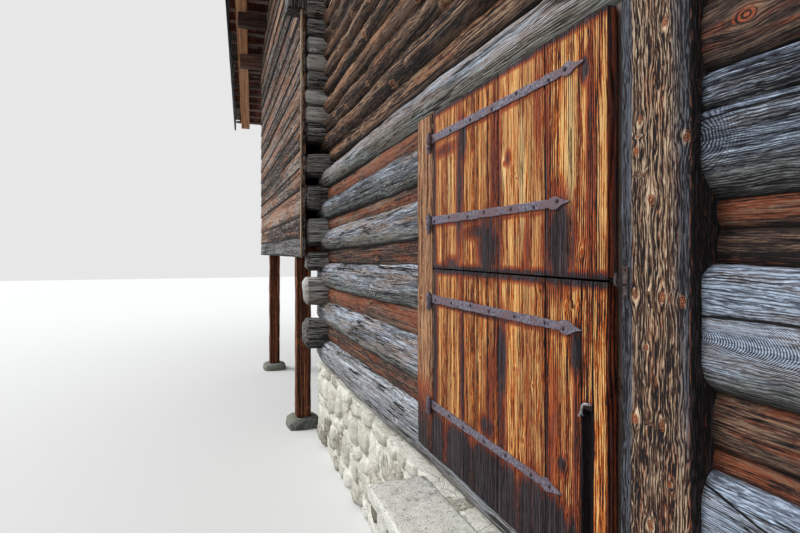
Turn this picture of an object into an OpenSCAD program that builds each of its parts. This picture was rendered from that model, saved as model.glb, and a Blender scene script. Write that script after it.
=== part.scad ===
// Alpine chalet: a log block on a stone plinth with a split plank door, a boarded bay
// on posts beside it, and one wide, low roof over both. The gable faces -Y.
// Millimetres. X runs along the front, Z is up, the origin is the plan centre at the ground.

/* [Building] */
// Length of the gable front between the centre lines of its two outer walls
front_len = 14340; // [13800:20:15400]
// Depth of the building between the outer faces of the front and back walls
depth = 10000; // [8600:100:11400]
// Width of the open bay between the centre lines of its walls
bay_w = 5870; // [5400:10:6200]
// Height of the stone plinth under the log block
plinth_h = 935; // [780:5:1100]
// Thickness of the stone plinth
plinth_t = 480; // [420:10:560]

/* [Log walls] */
// Thickness of the big wall logs
log_t = 300; // [270:5:320]
// Thickness of the small logs set back between the big ones
small_log_t = 230; // [200:5:250]
// How far the hewn faces of a log bulge
log_bulge = 38; // [20:1:50]
// How far the log ends stand out past a corner
stub_l = 250; // [200:5:300]
// Height of each upper log
upper_log_h = 210; // [190:5:230]

/* [Door] */
// Place of the middle of the door along the front, from the middle of the log block
door_shift = 0; // [-200:10:200]
// Width of the door leaves
leaf_w = 1483; // [1300:1:1600]
// Thickness of the door leaves
leaf_t = 45; // [38:1:52]
// Height of the split above the threshold
split_h = 1120; // [950:10:1250]
// Height of the threshold above the plinth
threshold_h = 147; // [120:1:200]
// Width of the hinge post
hinge_post_w = 265; // [220:5:300]
// Width of the latch post
latch_post_w = 248; // [220:2:300]
// Open slit between the free edge of the leaves and the latch post
latch_gap = 69; // [40:1:90]

/* [Roof] */
// Slope of the roof in degrees
roof_pitch = 19; // [15:0.5:23]
// Height of the underside of the rafters over the outer walls, above the plinth
eave_rise = 5715; // [5500:5:6000]
// Overhang of the eaves past the outer walls
eave_over = 2830; // [2300:10:3100]
// Overhang of the verge at the ridge
verge_ridge = 1480; // [1200:20:1700]
// Overhang of the verge at the eaves
verge_eave = 770; // [650:10:1100]
// Width of the purlins
purlin_w = 190; // [160:10:260]
// Height of the purlins
purlin_h = 210; // [180:10:280]

/* [Bay] */
// Height of the lower edge of the boarding above the plinth
bay_rise = 1300; // [1200:5:1500]
// Side of the square bay posts
bay_post = 190; // [160:5:230]
// Thickness of the boarding
boarding_t = 32; // [24:1:40]

/* [Hidden] */
$fn = 48;

// Plan lines
x_left = -front_len / 2;
x_right = front_len / 2;
x_cross = x_left + bay_w;
y_front = -depth / 2;
y_back = depth / 2;
y_front_mid = y_front + log_t / 2;
y_back_mid = y_back - log_t / 2;
half_log = log_t / 2;
wall_end_l = 270;
x_end_left = x_cross - half_log - wall_end_l;
x_end_right = x_right + half_log + wall_end_l;
plinth_proud = 40;

// Courses of the lower front wall: bottom above the plinth and height of each big log
BIG_LOGS = [[0, 335], [510, 285], [980, 295], [1455, 260], [1825, 245], [2200, 245]];
LINTEL = len(BIG_LOGS) - 1;
// Courses of the big logs across the building, whose ends stand out lower than the gaps of the front
SIDE_BANDS = [[223, 332], [735, 321], [1151, 214], [1436, 333], [1876, 274], [2281, 261]];
recess_h = 130;
z_upper = plinth_h + BIG_LOGS[LINTEL][0] + BIG_LOGS[LINTEL][1] + recess_h;
neck_h = upper_log_h / 2;

// Roof lines
roof_tan = tan(roof_pitch);
z_ridge = plinth_h + eave_rise + x_right * roof_tan;
upper_count = ceil((z_ridge - z_upper) / upper_log_h) + 1;
x_eave = x_right + eave_over;
PURLINS = [3000, x_right - 1200, x_right];
rafter_h = 150;
rafter_w = 120;
verge_rafter_w = 215;
rafter_step = 900;
batten_h = 40;
batten_w = 60;
batten_step = 300;
shingle_t = 70;
verge_board_t = 40;
verge_inset = 180;
purlin_back = 220;
pole_r = 55;
roof_top = rafter_h + batten_h + shingle_t;
z_plate = under(x_right + purlin_w / 2) - purlin_h;
wall_gap = 5;
// Slit between like pieces that share a node
seat = 0.3;
// Room around a timber that passes through a wall
pocket = 1;

// Door lines
x_door = (x_cross + x_right) / 2 + door_shift;
post_proud = 20;
y_post = y_front - post_proud;
hinge_gap = 8;
leaf_gap = 8;
opening_w = hinge_gap + leaf_w + latch_gap;
x_hinge_jamb = x_door - leaf_w / 2 - hinge_gap;
x_latch_jamb = x_hinge_jamb + opening_w;
x_leaf = x_hinge_jamb + hinge_gap;
z_threshold = plinth_h + threshold_h;
z_notch = z_threshold - 8;
z_sill_top = plinth_h + BIG_LOGS[0][1];
z_lintel = plinth_h + BIG_LOGS[LINTEL][0];
z_split = z_threshold + split_h;
stop_lap = 40;
pin_r = 8;
pin_play = 0.4;
eye_r = 16;
pin_x = x_hinge_jamb - 14;
pin_y = y_post - 19;
strap_t = 6;
strap_h = 58;
ledge_h = 140;
UPPER_STRAPS = [[1895, 1400], [1406, 1320]];
LOWER_STRAPS = [[939, 1390], [305, 1270]];

// Bay lines
z_bay = plinth_h + bay_rise;
sill_beam_h = 220;
sill_beam_w = 220;
bay_floor_t = 50;
pad_h = 120;
post_set_back = 1570;
y_boarding = y_front - stub_l;
x_strip = x_cross + half_log - 5;
strip_w = 60;
corbel_out = 210;
corbel_drop = 125;

// Height of the underside of the rafters at a distance from the ridge
function under(x) = z_ridge - abs(x) * roof_tan;
// Overhang of the verge at a distance from the ridge
function verge(x) = verge_ridge + (verge_eave - verge_ridge) * abs(x) / x_eave;
// Clear bands between the big logs of the lower front wall, and up to the first upper neck
function big_z(i) = plinth_h + BIG_LOGS[i][0];
function big_top(i) = big_z(i) + BIG_LOGS[i][1];
GAPS = [for (i = [0:LINTEL]) [big_top(i),
    (i < LINTEL ? big_z(i + 1) : z_upper + neck_h / 2) - big_top(i)]];
FRONT_BIG = [for (i = [1:LINTEL - 1]) [big_z(i), BIG_LOGS[i][1]]];
FRONT_SMALL = [for (i = [0:LINTEL - 1]) GAPS[i]];
UPPER = [for (k = [0:upper_count - 1]) [z_upper + k * upper_log_h, upper_log_h]];
UPPER_NECKS = [for (b = UPPER) [b[0] + neck_h / 2, neck_h]];
SIDE_UPPER = [for (k = [1:upper_count - 1]) [UPPER[k][0] - neck_h, upper_log_h]];
corbel_z = SIDE_UPPER[8][0] - corbel_drop;
SIDE_BIG = [for (b = SIDE_BANDS) [plinth_h + b[0], b[1]]];
SIDE_UPPER_NECKS = [for (b = SIDE_UPPER) [b[0] + neck_h / 2, neck_h]];
SIDE_FILL = [for (i = [0:LINTEL + 1])
    let (low = i == 0 ? plinth_h : SIDE_BIG[i - 1][0] + SIDE_BIG[i - 1][1])
    [low, (i > LINTEL ? SIDE_UPPER[0][0] : SIDE_BIG[i][0]) - low]];

// The bands of a list that lie wholly under a height
function whole(bands, top) = [for (b = bands) if (b[0] + b[1] <= top) b];

// Section of one log: height, thickness and bulge of its faces, less on a low log
module log_section(h, t, bulge) {
    b = min(bulge, h * h / (4.2 * t));
    r = (h * h / 4 + b * b) / (2 * b);
    intersection() {
        square([t, h], center = true);
        translate([t / 2 - r, 0]) circle(r, $fn = 96);
        translate([r - t / 2, 0]) circle(r, $fn = 96);
    }
}

// Sections of the logs in a list of bands
module sections(bands, t, bulge) {
    for (b = bands) translate([0, b[0] + b[1] / 2]) log_section(b[1], t, bulge);
}

// Square necks in a list of bands, narrower than the logs
module neck_sections(bands) {
    w = log_t - 2 * log_bulge;
    for (b = bands) translate([-w / 2, b[0]]) square([w, b[1]]);
}

module along_x(x0, x1, y) {
    translate([x0, y, 0]) rotate([90, 0, 90]) linear_extrude(x1 - x0) children();
}

module along_y(y0, y1, x) {
    translate([x, y1, 0]) rotate([90, 0, 0]) linear_extrude(y1 - y0) children();
}

module block(x0, x1, y0, y1, z0, z1) {
    translate([x0, y0, z0]) cube([x1 - x0, y1 - y0, z1 - z0]);
}

// Everything under the rafters, lowered a little
module under_roof() {
    along_y(y_front - 2000, y_back + 2000, 0)
        polygon([[-x_eave, 0], [x_eave, 0], [x_eave, under(x_eave) - wall_gap],
                 [0, z_ridge - wall_gap], [-x_eave, under(x_eave) - wall_gap]]);
}

// Pockets for the purlins through a gable wall
module purlin_pockets() {
    along_y(y_front - 1000, y_back + 1000, 0) {
        ridge_section(pocket);
        for (side = [-1, 1], p = PURLINS) purlin_section(side * p, pocket);
    }
}

// Section of a purlin with its top cut to the slope of the roof
module purlin_section(x, grow = 0) {
    s = sign(x);
    w = purlin_w / 2 + grow;
    a = abs(x);
    z0 = under(a + purlin_w / 2) - purlin_h - grow;
    top = grow > 0 ? grow : -seat;
    polygon([[s * (a - w), z0], [s * (a + w), z0],
             [s * (a + w), under(a + w) + top], [s * (a - w), under(a - w) + top]]);
}

module ridge_section(grow = 0) {
    w = purlin_w / 2 + grow;
    z0 = under(purlin_w / 2) - purlin_h - grow;
    top = grow > 0 ? grow : -seat;
    polygon([[-w, z0], [w, z0], [w, under(w) + top], [0, z_ridge + top], [-w, under(w) + top]]);
}

// A gable log wall: the upper logs with necked corners, cut to the roof
module gable(y) {
    difference() {
        intersection() {
            union() {
                along_x(x_cross + half_log, x_right - half_log, y) {
                    sections([GAPS[LINTEL]], small_log_t, log_bulge / 2);
                    sections(UPPER, log_t - 20, log_bulge);
                }
                for (x = [x_cross, x_right]) {
                    along_x(x - half_log, x + half_log, y) neck_sections(UPPER_NECKS);
                }
                along_x(x_end_left, x_cross - half_log, y)
                    sections(UPPER, log_t - 20, log_bulge);
                along_x(x_right + half_log, x_end_right, y)
                    sections(UPPER, log_t - 20, log_bulge);
            }
            under_roof();
        }
        purlin_pockets();
    }
}

module plinth_front() {
    color("gainsboro")
        block(x_cross - half_log - plinth_proud, x_right + half_log + plinth_proud,
              y_front - plinth_proud, y_front - plinth_proud + plinth_t, 0, plinth_h);
}

module plinth_back() {
    color("gainsboro")
        block(x_cross - half_log - plinth_proud, x_right + half_log + plinth_proud,
              y_back + plinth_proud - plinth_t, y_back + plinth_proud, 0, plinth_h);
}

module plinth_sides() {
    edge = half_log + plinth_proud;
    color("gainsboro")
        for (x0 = [x_cross - edge, x_right + edge - plinth_t])
            block(x0, x0 + plinth_t, y_front - plinth_proud + plinth_t,
                  y_back + plinth_proud - plinth_t, 0, plinth_h);
}

module post_pads() {
    pad = bay_post + 180;
    color("silver")
        for (x = bay_post_x(), y = bay_post_y())
            translate([x - pad / 2, y - pad / 2, 0]) cube([pad, pad, pad_h]);
}

module ground_floor() {
    color("peru")
        block(x_cross + half_log, x_right - half_log, y_front + log_t, y_back - log_t,
              z_threshold - 60, z_notch);
}

module floor_joists() {
    n = 9;
    x0 = x_cross + 700;
    x1 = x_right - 700;
    color("saddlebrown")
        for (i = [0:n - 1]) {
            x = x0 + (x1 - x0) * i / (n - 1);
            block(x - 80, x + 80, y_front - plinth_proud + plinth_t - 100,
                  y_back + plinth_proud - plinth_t + 100, plinth_h, z_threshold - 60);
        }
}

// The sill log of the front, notched under the door and its posts to make the threshold
module sill_log() {
    color("darkgray") difference() {
        along_x(x_end_left, x_end_right, y_front_mid)
            sections([[plinth_h, BIG_LOGS[0][1]]], log_t, log_bulge);
        block(x_hinge_jamb - hinge_post_w, x_latch_jamb + latch_post_w, y_front - 10,
              y_front + log_t + 10, z_notch, z_sill_top + 10);
    }
}

module front_wall_left() {
    color("darkgray") {
        along_x(x_end_left, x_hinge_jamb - hinge_post_w, y_front_mid)
            sections(FRONT_BIG, log_t, log_bulge);
        along_x(x_cross + half_log, x_hinge_jamb - hinge_post_w, y_front_mid)
            sections(FRONT_SMALL, small_log_t, log_bulge / 2);
    }
}

module front_wall_right() {
    color("darkgray") {
        along_x(x_latch_jamb + latch_post_w, x_end_right, y_front_mid)
            sections(FRONT_BIG, log_t, log_bulge);
        along_x(x_latch_jamb + latch_post_w, x_right - half_log, y_front_mid)
            sections(FRONT_SMALL, small_log_t, log_bulge / 2);
    }
}

module lintel_log() {
    color("darkgray") along_x(x_end_left, x_end_right, y_front_mid)
        sections([[z_lintel, BIG_LOGS[LINTEL][1]]], log_t, log_bulge);
}

module front_gable_wall() { color("sienna") gable(y_front_mid); }

module back_wall() {
    color("sienna") {
        gable(y_back_mid);
        along_x(x_end_left, x_end_right, y_back_mid)
            sections([for (i = [0:LINTEL]) [big_z(i), BIG_LOGS[i][1]]], log_t, log_bulge);
        along_x(x_cross + half_log, x_right - half_log, y_back_mid)
            sections(FRONT_SMALL, small_log_t, log_bulge / 2);
    }
}

// A side log wall between the gable walls, with its log ends standing out past them
module side_wall(x, top) {
    along_y(y_front + log_t, y_back - log_t, x) {
        sections(SIDE_FILL, small_log_t, log_bulge / 2);
        sections(SIDE_BIG, log_t - 20, log_bulge);
        sections(SIDE_UPPER, log_t - 20, log_bulge);
    }
    for (y = [y_front, y_back - log_t])
        along_y(y, y + log_t, x) neck_sections(whole(concat(GAPS, SIDE_UPPER_NECKS), top));
    for (y = [y_front - stub_l, y_back])
        along_y(y, y + stub_l, x)
            sections(whole(concat(SIDE_BIG, SIDE_UPPER), top), log_t - 10, log_bulge);
}

module left_log_wall() {
    color("dimgray") {
        intersection() {
            side_wall(x_cross, under(x_cross - half_log) - wall_gap);
            under_roof();
        }
        corbel(0);
    }
}

// A longer beam end of the cross wall that carries the roof's edge, or the room left for it
module corbel(grow) {
    block(x_cross - half_log + 5 - grow, x_strip + grow, y_boarding - corbel_out, y_boarding,
          corbel_z - grow, corbel_z + upper_log_h + corbel_drop + grow);
}

module right_log_wall() {
    color("dimgray") intersection() {
        side_wall(x_right, z_plate);
        block(x_right - 500, x_right + 500, y_front - 1000, y_back + 1000, 0, z_plate);
    }
}

// The log wall at the far end of the bay, on its sill beams
module bay_end_wall() {
    first = z_bay + sill_beam_h;
    rows = [for (k = [0:upper_count - 1]) [first + k * upper_log_h, upper_log_h]];
    color("dimgray") intersection() {
        along_y(y_front - stub_l, y_back + stub_l, x_left)
            sections(rows, log_t - 20, log_bulge);
        block(x_left - 500, x_left + 500, y_front - 1000, y_back + 1000, 0, z_plate);
    }
}

function bay_post_x() = [x_left + post_set_back, x_cross - half_log - plinth_proud - 490];
function bay_post_y() = [y_boarding + bay_post / 2, -y_boarding - bay_post / 2];

module bay_posts() {
    color("peru")
        for (x = bay_post_x(), y = bay_post_y())
            block(x - bay_post / 2, x + bay_post / 2, y - bay_post / 2, y + bay_post / 2,
                  pad_h, z_bay);
}

// A frame of four beams that carries the bay
module bay_sill_beams() {
    x0 = x_left - sill_beam_w / 2;
    x1 = x_cross - half_log - wall_end_l - 5;
    color("saddlebrown") {
        for (y = [y_boarding, -y_boarding - sill_beam_w])
            block(x0, x1, y, y + sill_beam_w, z_bay, z_bay + sill_beam_h);
        for (x = [x0, x1 - sill_beam_w])
            block(x, x + sill_beam_w, y_boarding + sill_beam_w + seat,
                  -y_boarding - sill_beam_w - seat, z_bay, z_bay + sill_beam_h);
    }
}

module bay_floor() {
    x0 = x_left + half_log;
    x1 = x_cross - half_log - wall_end_l - 5;
    color("saddlebrown") {
        block(x0, x1, y_boarding, -y_boarding, z_bay + sill_beam_h, z_bay + sill_beam_h + bay_floor_t);
        for (i = [1:9]) {
            y = y_front + i * depth / 10;
            block(x_left + sill_beam_w / 2, x1 - sill_beam_w, y - 60, y + 60,
                  z_bay + 60, z_bay + sill_beam_h);
        }
    }
}

module bay_studs() {
    z0 = z_bay + sill_beam_h + bay_floor_t;
    color("saddlebrown") difference() {
        intersection() {
            for (i = [1:4], y = [y_boarding, -y_boarding - 140]) {
                x = x_left + half_log + i * (bay_w - log_t) / 5 - 60;
                block(x, x + 120, y, y + 140, z0, z_ridge);
            }
            under_roof();
        }
        purlin_pockets();
    }
}

module bay_boarding(y) {
    color("rosybrown") difference() {
        intersection() {
            block(x_left - half_log, x_strip, y, y + boarding_t, z_bay, z_ridge);
            under_roof();
        }
        purlin_pockets();
        corbel(pocket);
    }
}

module bay_boarding_front() { bay_boarding(y_boarding - boarding_t); }
module bay_boarding_back() { bay_boarding(-y_boarding); }

module bay_corner_strips() {
    color("tan") difference() {
        intersection() {
            for (y = [y_boarding - boarding_t - 22, -y_boarding + boarding_t])
                block(x_strip - strip_w, x_strip, y, y + 22, z_bay, z_ridge);
            under_roof();
        }
        corbel(pocket);
    }
}

module ridge_purlin() {
    reach = y_back + verge_ridge - purlin_back;
    color("saddlebrown") along_y(-reach, reach, 0) ridge_section();
}

module purlins() {
    color("saddlebrown")
        for (side = [-1, 1], p = PURLINS) {
            reach = y_back + verge(p) - purlin_back;
            along_y(-reach, reach, 0) purlin_section(side * p);
        }
}

// A layer of the roof on one side: heights over the rafters' underside and a span in X
module slope_section(side, low, high, x0, x1) {
    polygon([[side * x0, under(x0) + low], [side * x1, under(x1) + low],
             [side * x1, under(x1) + high], [side * x0, under(x0) + high]]);
}

// Place of the skewed verge line at a distance from the ridge, with a margin inside it
function verge_y(x, inset) = y_back + verge(x) - inset;

// A layer of the roof on one side, out to a margin inside the skewed verges
module roof_layer(side, low, high, x0, x1, inset) {
    xe = x_eave + 100;
    intersection() {
        along_y(y_front - 2500, y_back + 2500, 0) slope_section(side, low, high, x0, x1);
        linear_extrude(z_ridge + 1000)
            polygon([[0, -verge_y(0, inset)], [side * xe, -verge_y(xe, inset)],
                     [side * xe, verge_y(xe, inset)], [0, verge_y(0, inset)]]);
    }
}

// A strip of the roof that follows the skewed verge, between two margins inside it
module verge_strip(side, end, low, high, inset, width) {
    xe = x_eave + 100;
    intersection() {
        along_y(y_front - 2500, y_back + 2500, 0) slope_section(side, low, high, seat, x_eave);
        linear_extrude(z_ridge + 1000)
            polygon([[0, end * verge_y(0, inset)], [side * xe, end * verge_y(xe, inset)],
                     [side * xe, end * verge_y(xe, inset + width)],
                     [0, end * verge_y(0, inset + width)]]);
    }
}

// Pairs of rafters that all but meet at the ridge
module rafters() {
    n = floor(depth / rafter_step);
    color("saddlebrown")
        for (i = [0:n], side = [-1, 1]) {
            y = (i - n / 2) * rafter_step;
            along_y(y - rafter_w / 2, y + rafter_w / 2, 0)
                slope_section(side, 0, rafter_h, seat, x_eave);
        }
}

// The outermost rafters, which follow the skewed verge a little inside it
module verge_rafters() {
    color("burlywood")
        for (side = [-1, 1], end = [-1, 1])
            verge_strip(side, end, 0, rafter_h, verge_inset, verge_rafter_w);
}

module battens() {
    n = floor((x_eave - batten_w) / batten_step);
    color("tan")
        for (i = [0:n], side = [-1, 1]) {
            x = batten_w + i * batten_step;
            roof_layer(side, rafter_h + seat, rafter_h + batten_h, x, x + batten_w,
                       verge_board_t + seat);
        }
}

module roof_slope(side) {
    color("slategray")
        roof_layer(side, rafter_h + batten_h + seat, roof_top, 0, x_eave + 40, 0);
}

module roof_left() { roof_slope(-1); }
module roof_right() { roof_slope(1); }

module ridge_boards() {
    reach = y_back + verge_ridge;
    w = 220;
    drop = w * roof_tan;
    z0 = z_ridge + roof_top + seat;
    color("slategray") along_y(-reach, reach, 0)
        polygon([[-w, z0 - drop], [0, z0], [w, z0 - drop], [w, z0 - drop + 30], [0, z0 + 30],
                 [-w, z0 - drop + 30]]);
}

// Boards on edge that close the verge in front of the batten ends
module verge_boards() {
    color("slategray")
        for (side = [-1, 1], end = [-1, 1])
            verge_strip(side, end, -60, rafter_h + batten_h, 0, verge_board_t);
}

// Round poles that weigh the shingles down, lying along the building
module roof_poles() {
    n = 5;
    color("darkgray")
        for (i = [1:n], side = [-1, 1]) {
            x = i * x_eave / n - 260;
            reach = y_back + verge(x) - 60;
            z = under(x) + roof_top + seat + pole_r / cos(roof_pitch);
            translate([side * x, reach, z]) rotate([90, 0, 0]) cylinder(h = 2 * reach, r = pole_r);
        }
}

module hinge_post() {
    color("chocolate")
        block(x_hinge_jamb - hinge_post_w, x_hinge_jamb, y_post, y_front + log_t,
              z_notch, z_lintel);
}

// The latch post with a stop behind the free edge of the leaves
module latch_post() {
    color("chocolate") {
        block(x_latch_jamb, x_latch_jamb + latch_post_w, y_post, y_front + log_t,
              z_notch, z_lintel);
        block(x_latch_jamb - latch_gap - stop_lap, x_latch_jamb, y_post + leaf_t + 8,
              y_front + log_t, z_notch, z_lintel);
    }
}

// Four pintles on the hinge post: a plate, an arm, a shoulder and an upright pin each
module hinge_pintles() {
    shoulder_h = 26;
    color("dimgray")
        for (s = concat(UPPER_STRAPS, LOWER_STRAPS)) {
            z = z_threshold + s[0];
            low = z - strap_h / 2 - 1 - shoulder_h;
            translate([pin_x, pin_y, low]) cylinder(h = shoulder_h, r = eye_r);
            translate([pin_x, pin_y, low]) cylinder(h = shoulder_h + strap_h + 14, r = pin_r);
            block(pin_x - 34, pin_x, pin_y - 6, y_post, low, low + shoulder_h);
            block(pin_x - 60, pin_x - 22, y_post - 8, y_post, low - 20, z + strap_h / 2 + 4);
        }
}

module latch_hook() {
    x = x_latch_jamb + 30;
    color("dimgray") {
        block(x - 18, x + 18, y_post - 6, y_post, z_split - 60, z_split + 60);
        block(x - 7, x + 7, y_post - 40, y_post - 6, z_split - 12, z_split + 2);
        block(x - 7, x + 7, y_post - 48, y_post - 36, z_split - 12, z_split + 34);
    }
}

module doorstep_slab() {
    color("lightgray")
        block(x_door - 830, x_door + 870, y_front - plinth_proud - 370,
              y_front - plinth_proud, plinth_h - 92, plinth_h - 2);
}

module doorstep_legs() {
    color("lightgray")
        for (x = [x_door - 700, x_door + 740])
            block(x - 90, x + 90, y_front - plinth_proud - 320, y_front - plinth_proud - 20,
                  0, plinth_h - 92);
}

module leaf(z0, z1) {
    color("darkorange") block(x_leaf, x_leaf + leaf_w, y_post, y_post + leaf_t, z0, z1);
}

// Cross boards on the back of a leaf, one behind each strap
module ledges(list) {
    color("sienna")
        for (s = list)
            let (z = z_threshold + s[0] - ledge_h / 2)
                block(x_leaf + 60, x_leaf + leaf_w - 140, y_post + leaf_t, y_post + leaf_t + 30,
                      z, z + ledge_h);
}

// Long iron straps with a leaf-shaped tip and an eye around the pintle
module straps(list) {
    tip_w = 62;
    tip_l = 130;
    end_w = 42;
    color("dimgray")
        for (s = list) {
            z = z_threshold + s[0];
            l = s[1];
            neck = l - tip_l;
            difference() {
                union() {
                    translate([pin_x, y_post, z]) rotate([90, 0, 0]) linear_extrude(strap_t)
                        polygon([[0, -strap_h / 2], [neck, -end_w / 2],
                                 [neck + 4, -end_w / 4], [neck + 24, -tip_w / 2],
                                 [neck + 52, -tip_w / 2], [l - 24, -8], [l, 0], [l - 24, 8],
                                 [neck + 52, tip_w / 2], [neck + 24, tip_w / 2],
                                 [neck + 4, end_w / 4], [neck, end_w / 2], [0, strap_h / 2]]);
                    translate([pin_x, pin_y, z - strap_h / 2]) cylinder(h = strap_h, r = eye_r);
                }
                translate([pin_x, pin_y, z - strap_h])
                    cylinder(h = 2 * strap_h, r = pin_r + pin_play);
            }
        }
}

module lower_door_leaf() { leaf(z_threshold + 4, z_split - leaf_gap / 2); }
module upper_door_leaf() { leaf(z_split + leaf_gap / 2, z_lintel - leaf_gap); }
module lower_door_ledges() { ledges(LOWER_STRAPS); }
module upper_door_ledges() { ledges(UPPER_STRAPS); }
module lower_door_straps() { straps(LOWER_STRAPS); }
module upper_door_straps() { straps(UPPER_STRAPS); }

// A small pull handle near the free edge of the lower leaf
module lower_door_handle() {
    x = x_leaf + leaf_w - 110;
    z = z_split - 465;
    color("dimgray") {
        for (dz = [-50, 50])
            translate([x, y_post, z + dz]) rotate([90, 0, 0]) cylinder(h = 34, r = 6);
        translate([x, y_post - 34, z - 62]) cylinder(h = 124, r = 7);
    }
}

plinth_front();
plinth_back();
plinth_sides();
post_pads();
ground_floor();
floor_joists();
sill_log();
front_wall_left();
front_wall_right();
lintel_log();
front_gable_wall();
back_wall();
left_log_wall();
right_log_wall();
bay_end_wall();
bay_posts();
bay_sill_beams();
bay_floor();
bay_studs();
bay_boarding_front();
bay_boarding_back();
bay_corner_strips();
ridge_purlin();
purlins();
rafters();
verge_rafters();
battens();
roof_left();
roof_right();
ridge_boards();
verge_boards();
roof_poles();
hinge_post();
latch_post();
hinge_pintles();
latch_hook();
doorstep_slab();
doorstep_legs();
lower_door_leaf();
lower_door_ledges();
lower_door_straps();
lower_door_handle();
upper_door_leaf();
upper_door_ledges();
upper_door_straps();
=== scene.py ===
import math
import random
import bmesh
import bpy
import numpy as np
from mathutils import Matrix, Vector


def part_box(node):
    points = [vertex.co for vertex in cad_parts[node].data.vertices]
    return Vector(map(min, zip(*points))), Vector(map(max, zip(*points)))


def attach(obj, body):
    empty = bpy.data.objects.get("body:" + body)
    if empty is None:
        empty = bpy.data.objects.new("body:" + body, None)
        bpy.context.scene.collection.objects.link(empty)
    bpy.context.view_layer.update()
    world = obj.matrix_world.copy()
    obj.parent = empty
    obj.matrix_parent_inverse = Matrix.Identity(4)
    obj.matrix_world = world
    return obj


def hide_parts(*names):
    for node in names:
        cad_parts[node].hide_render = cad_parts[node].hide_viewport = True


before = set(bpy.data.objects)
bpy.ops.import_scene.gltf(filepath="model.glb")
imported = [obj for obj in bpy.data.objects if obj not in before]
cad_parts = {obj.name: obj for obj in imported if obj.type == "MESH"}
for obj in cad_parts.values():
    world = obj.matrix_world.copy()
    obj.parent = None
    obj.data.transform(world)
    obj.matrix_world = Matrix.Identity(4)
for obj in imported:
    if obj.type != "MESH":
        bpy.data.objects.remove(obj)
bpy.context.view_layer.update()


def only(piece=None):
    """Selects one piece alone, or nothing, before a modelling step."""
    bpy.ops.object.select_all(action="DESELECT")
    if piece:
        piece.select_set(True)
        bpy.context.view_layer.objects.active = piece


def put(tree, kind, settings=None, **inputs):
    """Adds a shader node, with its settings, and fills or joins its inputs by name or number."""
    made = tree.nodes.new("ShaderNode" + kind)
    for name, value in (settings or {}).items():
        setattr(made, name, value)
    for name, value in inputs.items():
        socket = made.inputs[int(name[1:])] if name[1:].isdigit() else made.inputs[name.replace("_", " ")]
        if isinstance(value, bpy.types.NodeSocket):
            tree.links.new(value, socket)
        else:
            socket.default_value = value
    return made


def calc(tree, operation, *values):
    """One step of arithmetic on shader values."""
    filled = {f"i{n}": value for n, value in enumerate(values)}
    return put(tree, "Math", {"operation": operation}, **filled).outputs[0]


def mingle(tree, amount, first, second):
    """Two colours mixed by a mask."""
    return put(tree, "Mix", {"data_type": "RGBA"}, i0=amount, i6=first, i7=second).outputs[2]


def tint(red, green, blue):
    """A colour as mixed on a paint card, 0 to 255, in the linear values that a shader takes."""
    return tuple((c / 255) ** 2.2 for c in (red, green, blue)) + (1,)


def finish(name):
    """A new material, with its node tree and shader."""
    made = bpy.data.materials.new(name)
    made.use_nodes = True
    return made, made.node_tree, made.node_tree.nodes["Principled BSDF"]


def looked_at(tree):
    """Whether a ray comes from the camera, straight or by a mirror, and not from the lighting."""
    path = put(tree, "LightPath").outputs
    return calc(tree, "MAXIMUM", path["Is Camera Ray"], path["Is Glossy Ray"])


only()
bpy.ops.object.camera_add(location=(5.13, -6.25, 2.30),
                          rotation=(math.radians(90), 0, math.radians(70.855)))
eye = bpy.context.object
eye.data.lens = 23.85
eye.data.sensor_width = 36
eye.data.shift_y = -0.018
eye.data.clip_end = 200
bpy.context.scene.camera = eye
bpy.context.scene.view_settings.view_transform = "Standard"
sky = bpy.data.worlds.new("sky")
bpy.context.scene.world = sky
sky.use_nodes = True
air = sky.node_tree
air.nodes.clear()
glow = put(air, "Background", Color=(0.94, 0.97, 1, 1), Strength=0.95)
white = put(air, "Background", Strength=1)
backdrop = put(air, "MixShader", i0=looked_at(air), i1=glow.outputs[0], i2=white.outputs[0])
put(air, "OutputWorld", Surface=backdrop.outputs[0])
bpy.ops.object.light_add(type="SUN", rotation=(math.radians(52), 0, math.radians(-28)))
lamp = bpy.context.object
lamp.data.energy = 2.2
lamp.data.angle = math.radians(35)
bpy.ops.mesh.primitive_plane_add(size=90, location=(0, 0, -0.003))
floor = bpy.context.object
floor.name = "studio_floor"
floor_paint, tree, shader = finish("studio_floor")
shown = mingle(tree, looked_at(tree), tint(120, 118, 112), tint(222, 222, 220))
tree.links.new(shown, shader.inputs["Base Color"])
shader.inputs["Roughness"].default_value = 0.9
floor.data.materials.append(floor_paint)

# The plinth: rubble walls of field stones bedded in lime mortar and washed over with lime, under
# the log block; flat boulders carry the posts of the bay. The stones show through the thin wash.


def fade(tree, value, low, high, start=0.0, end=1.0):
    """A smooth step of a value between two limits."""
    return put(tree, "MapRange", {"interpolation_type": "SMOOTHSTEP"}, i0=value, i1=low, i2=high,
               i3=start, i4=end).outputs[0]


def group(name, inputs, outputs):
    """An empty shader group with its named sockets."""
    made = bpy.data.node_groups.new(name, "ShaderNodeTree")
    for label, value in inputs.items():
        kind = "NodeSocketColor" if isinstance(value, tuple) else "NodeSocketFloat"
        made.interface.new_socket(label, in_out="INPUT", socket_type=kind).default_value = value
    for label, kind in outputs.items():
        made.interface.new_socket(label, in_out="OUTPUT", socket_type="NodeSocket" + kind)
    return made, made.nodes.new("NodeGroupInput").outputs, made.nodes.new("NodeGroupOutput").inputs


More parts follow.
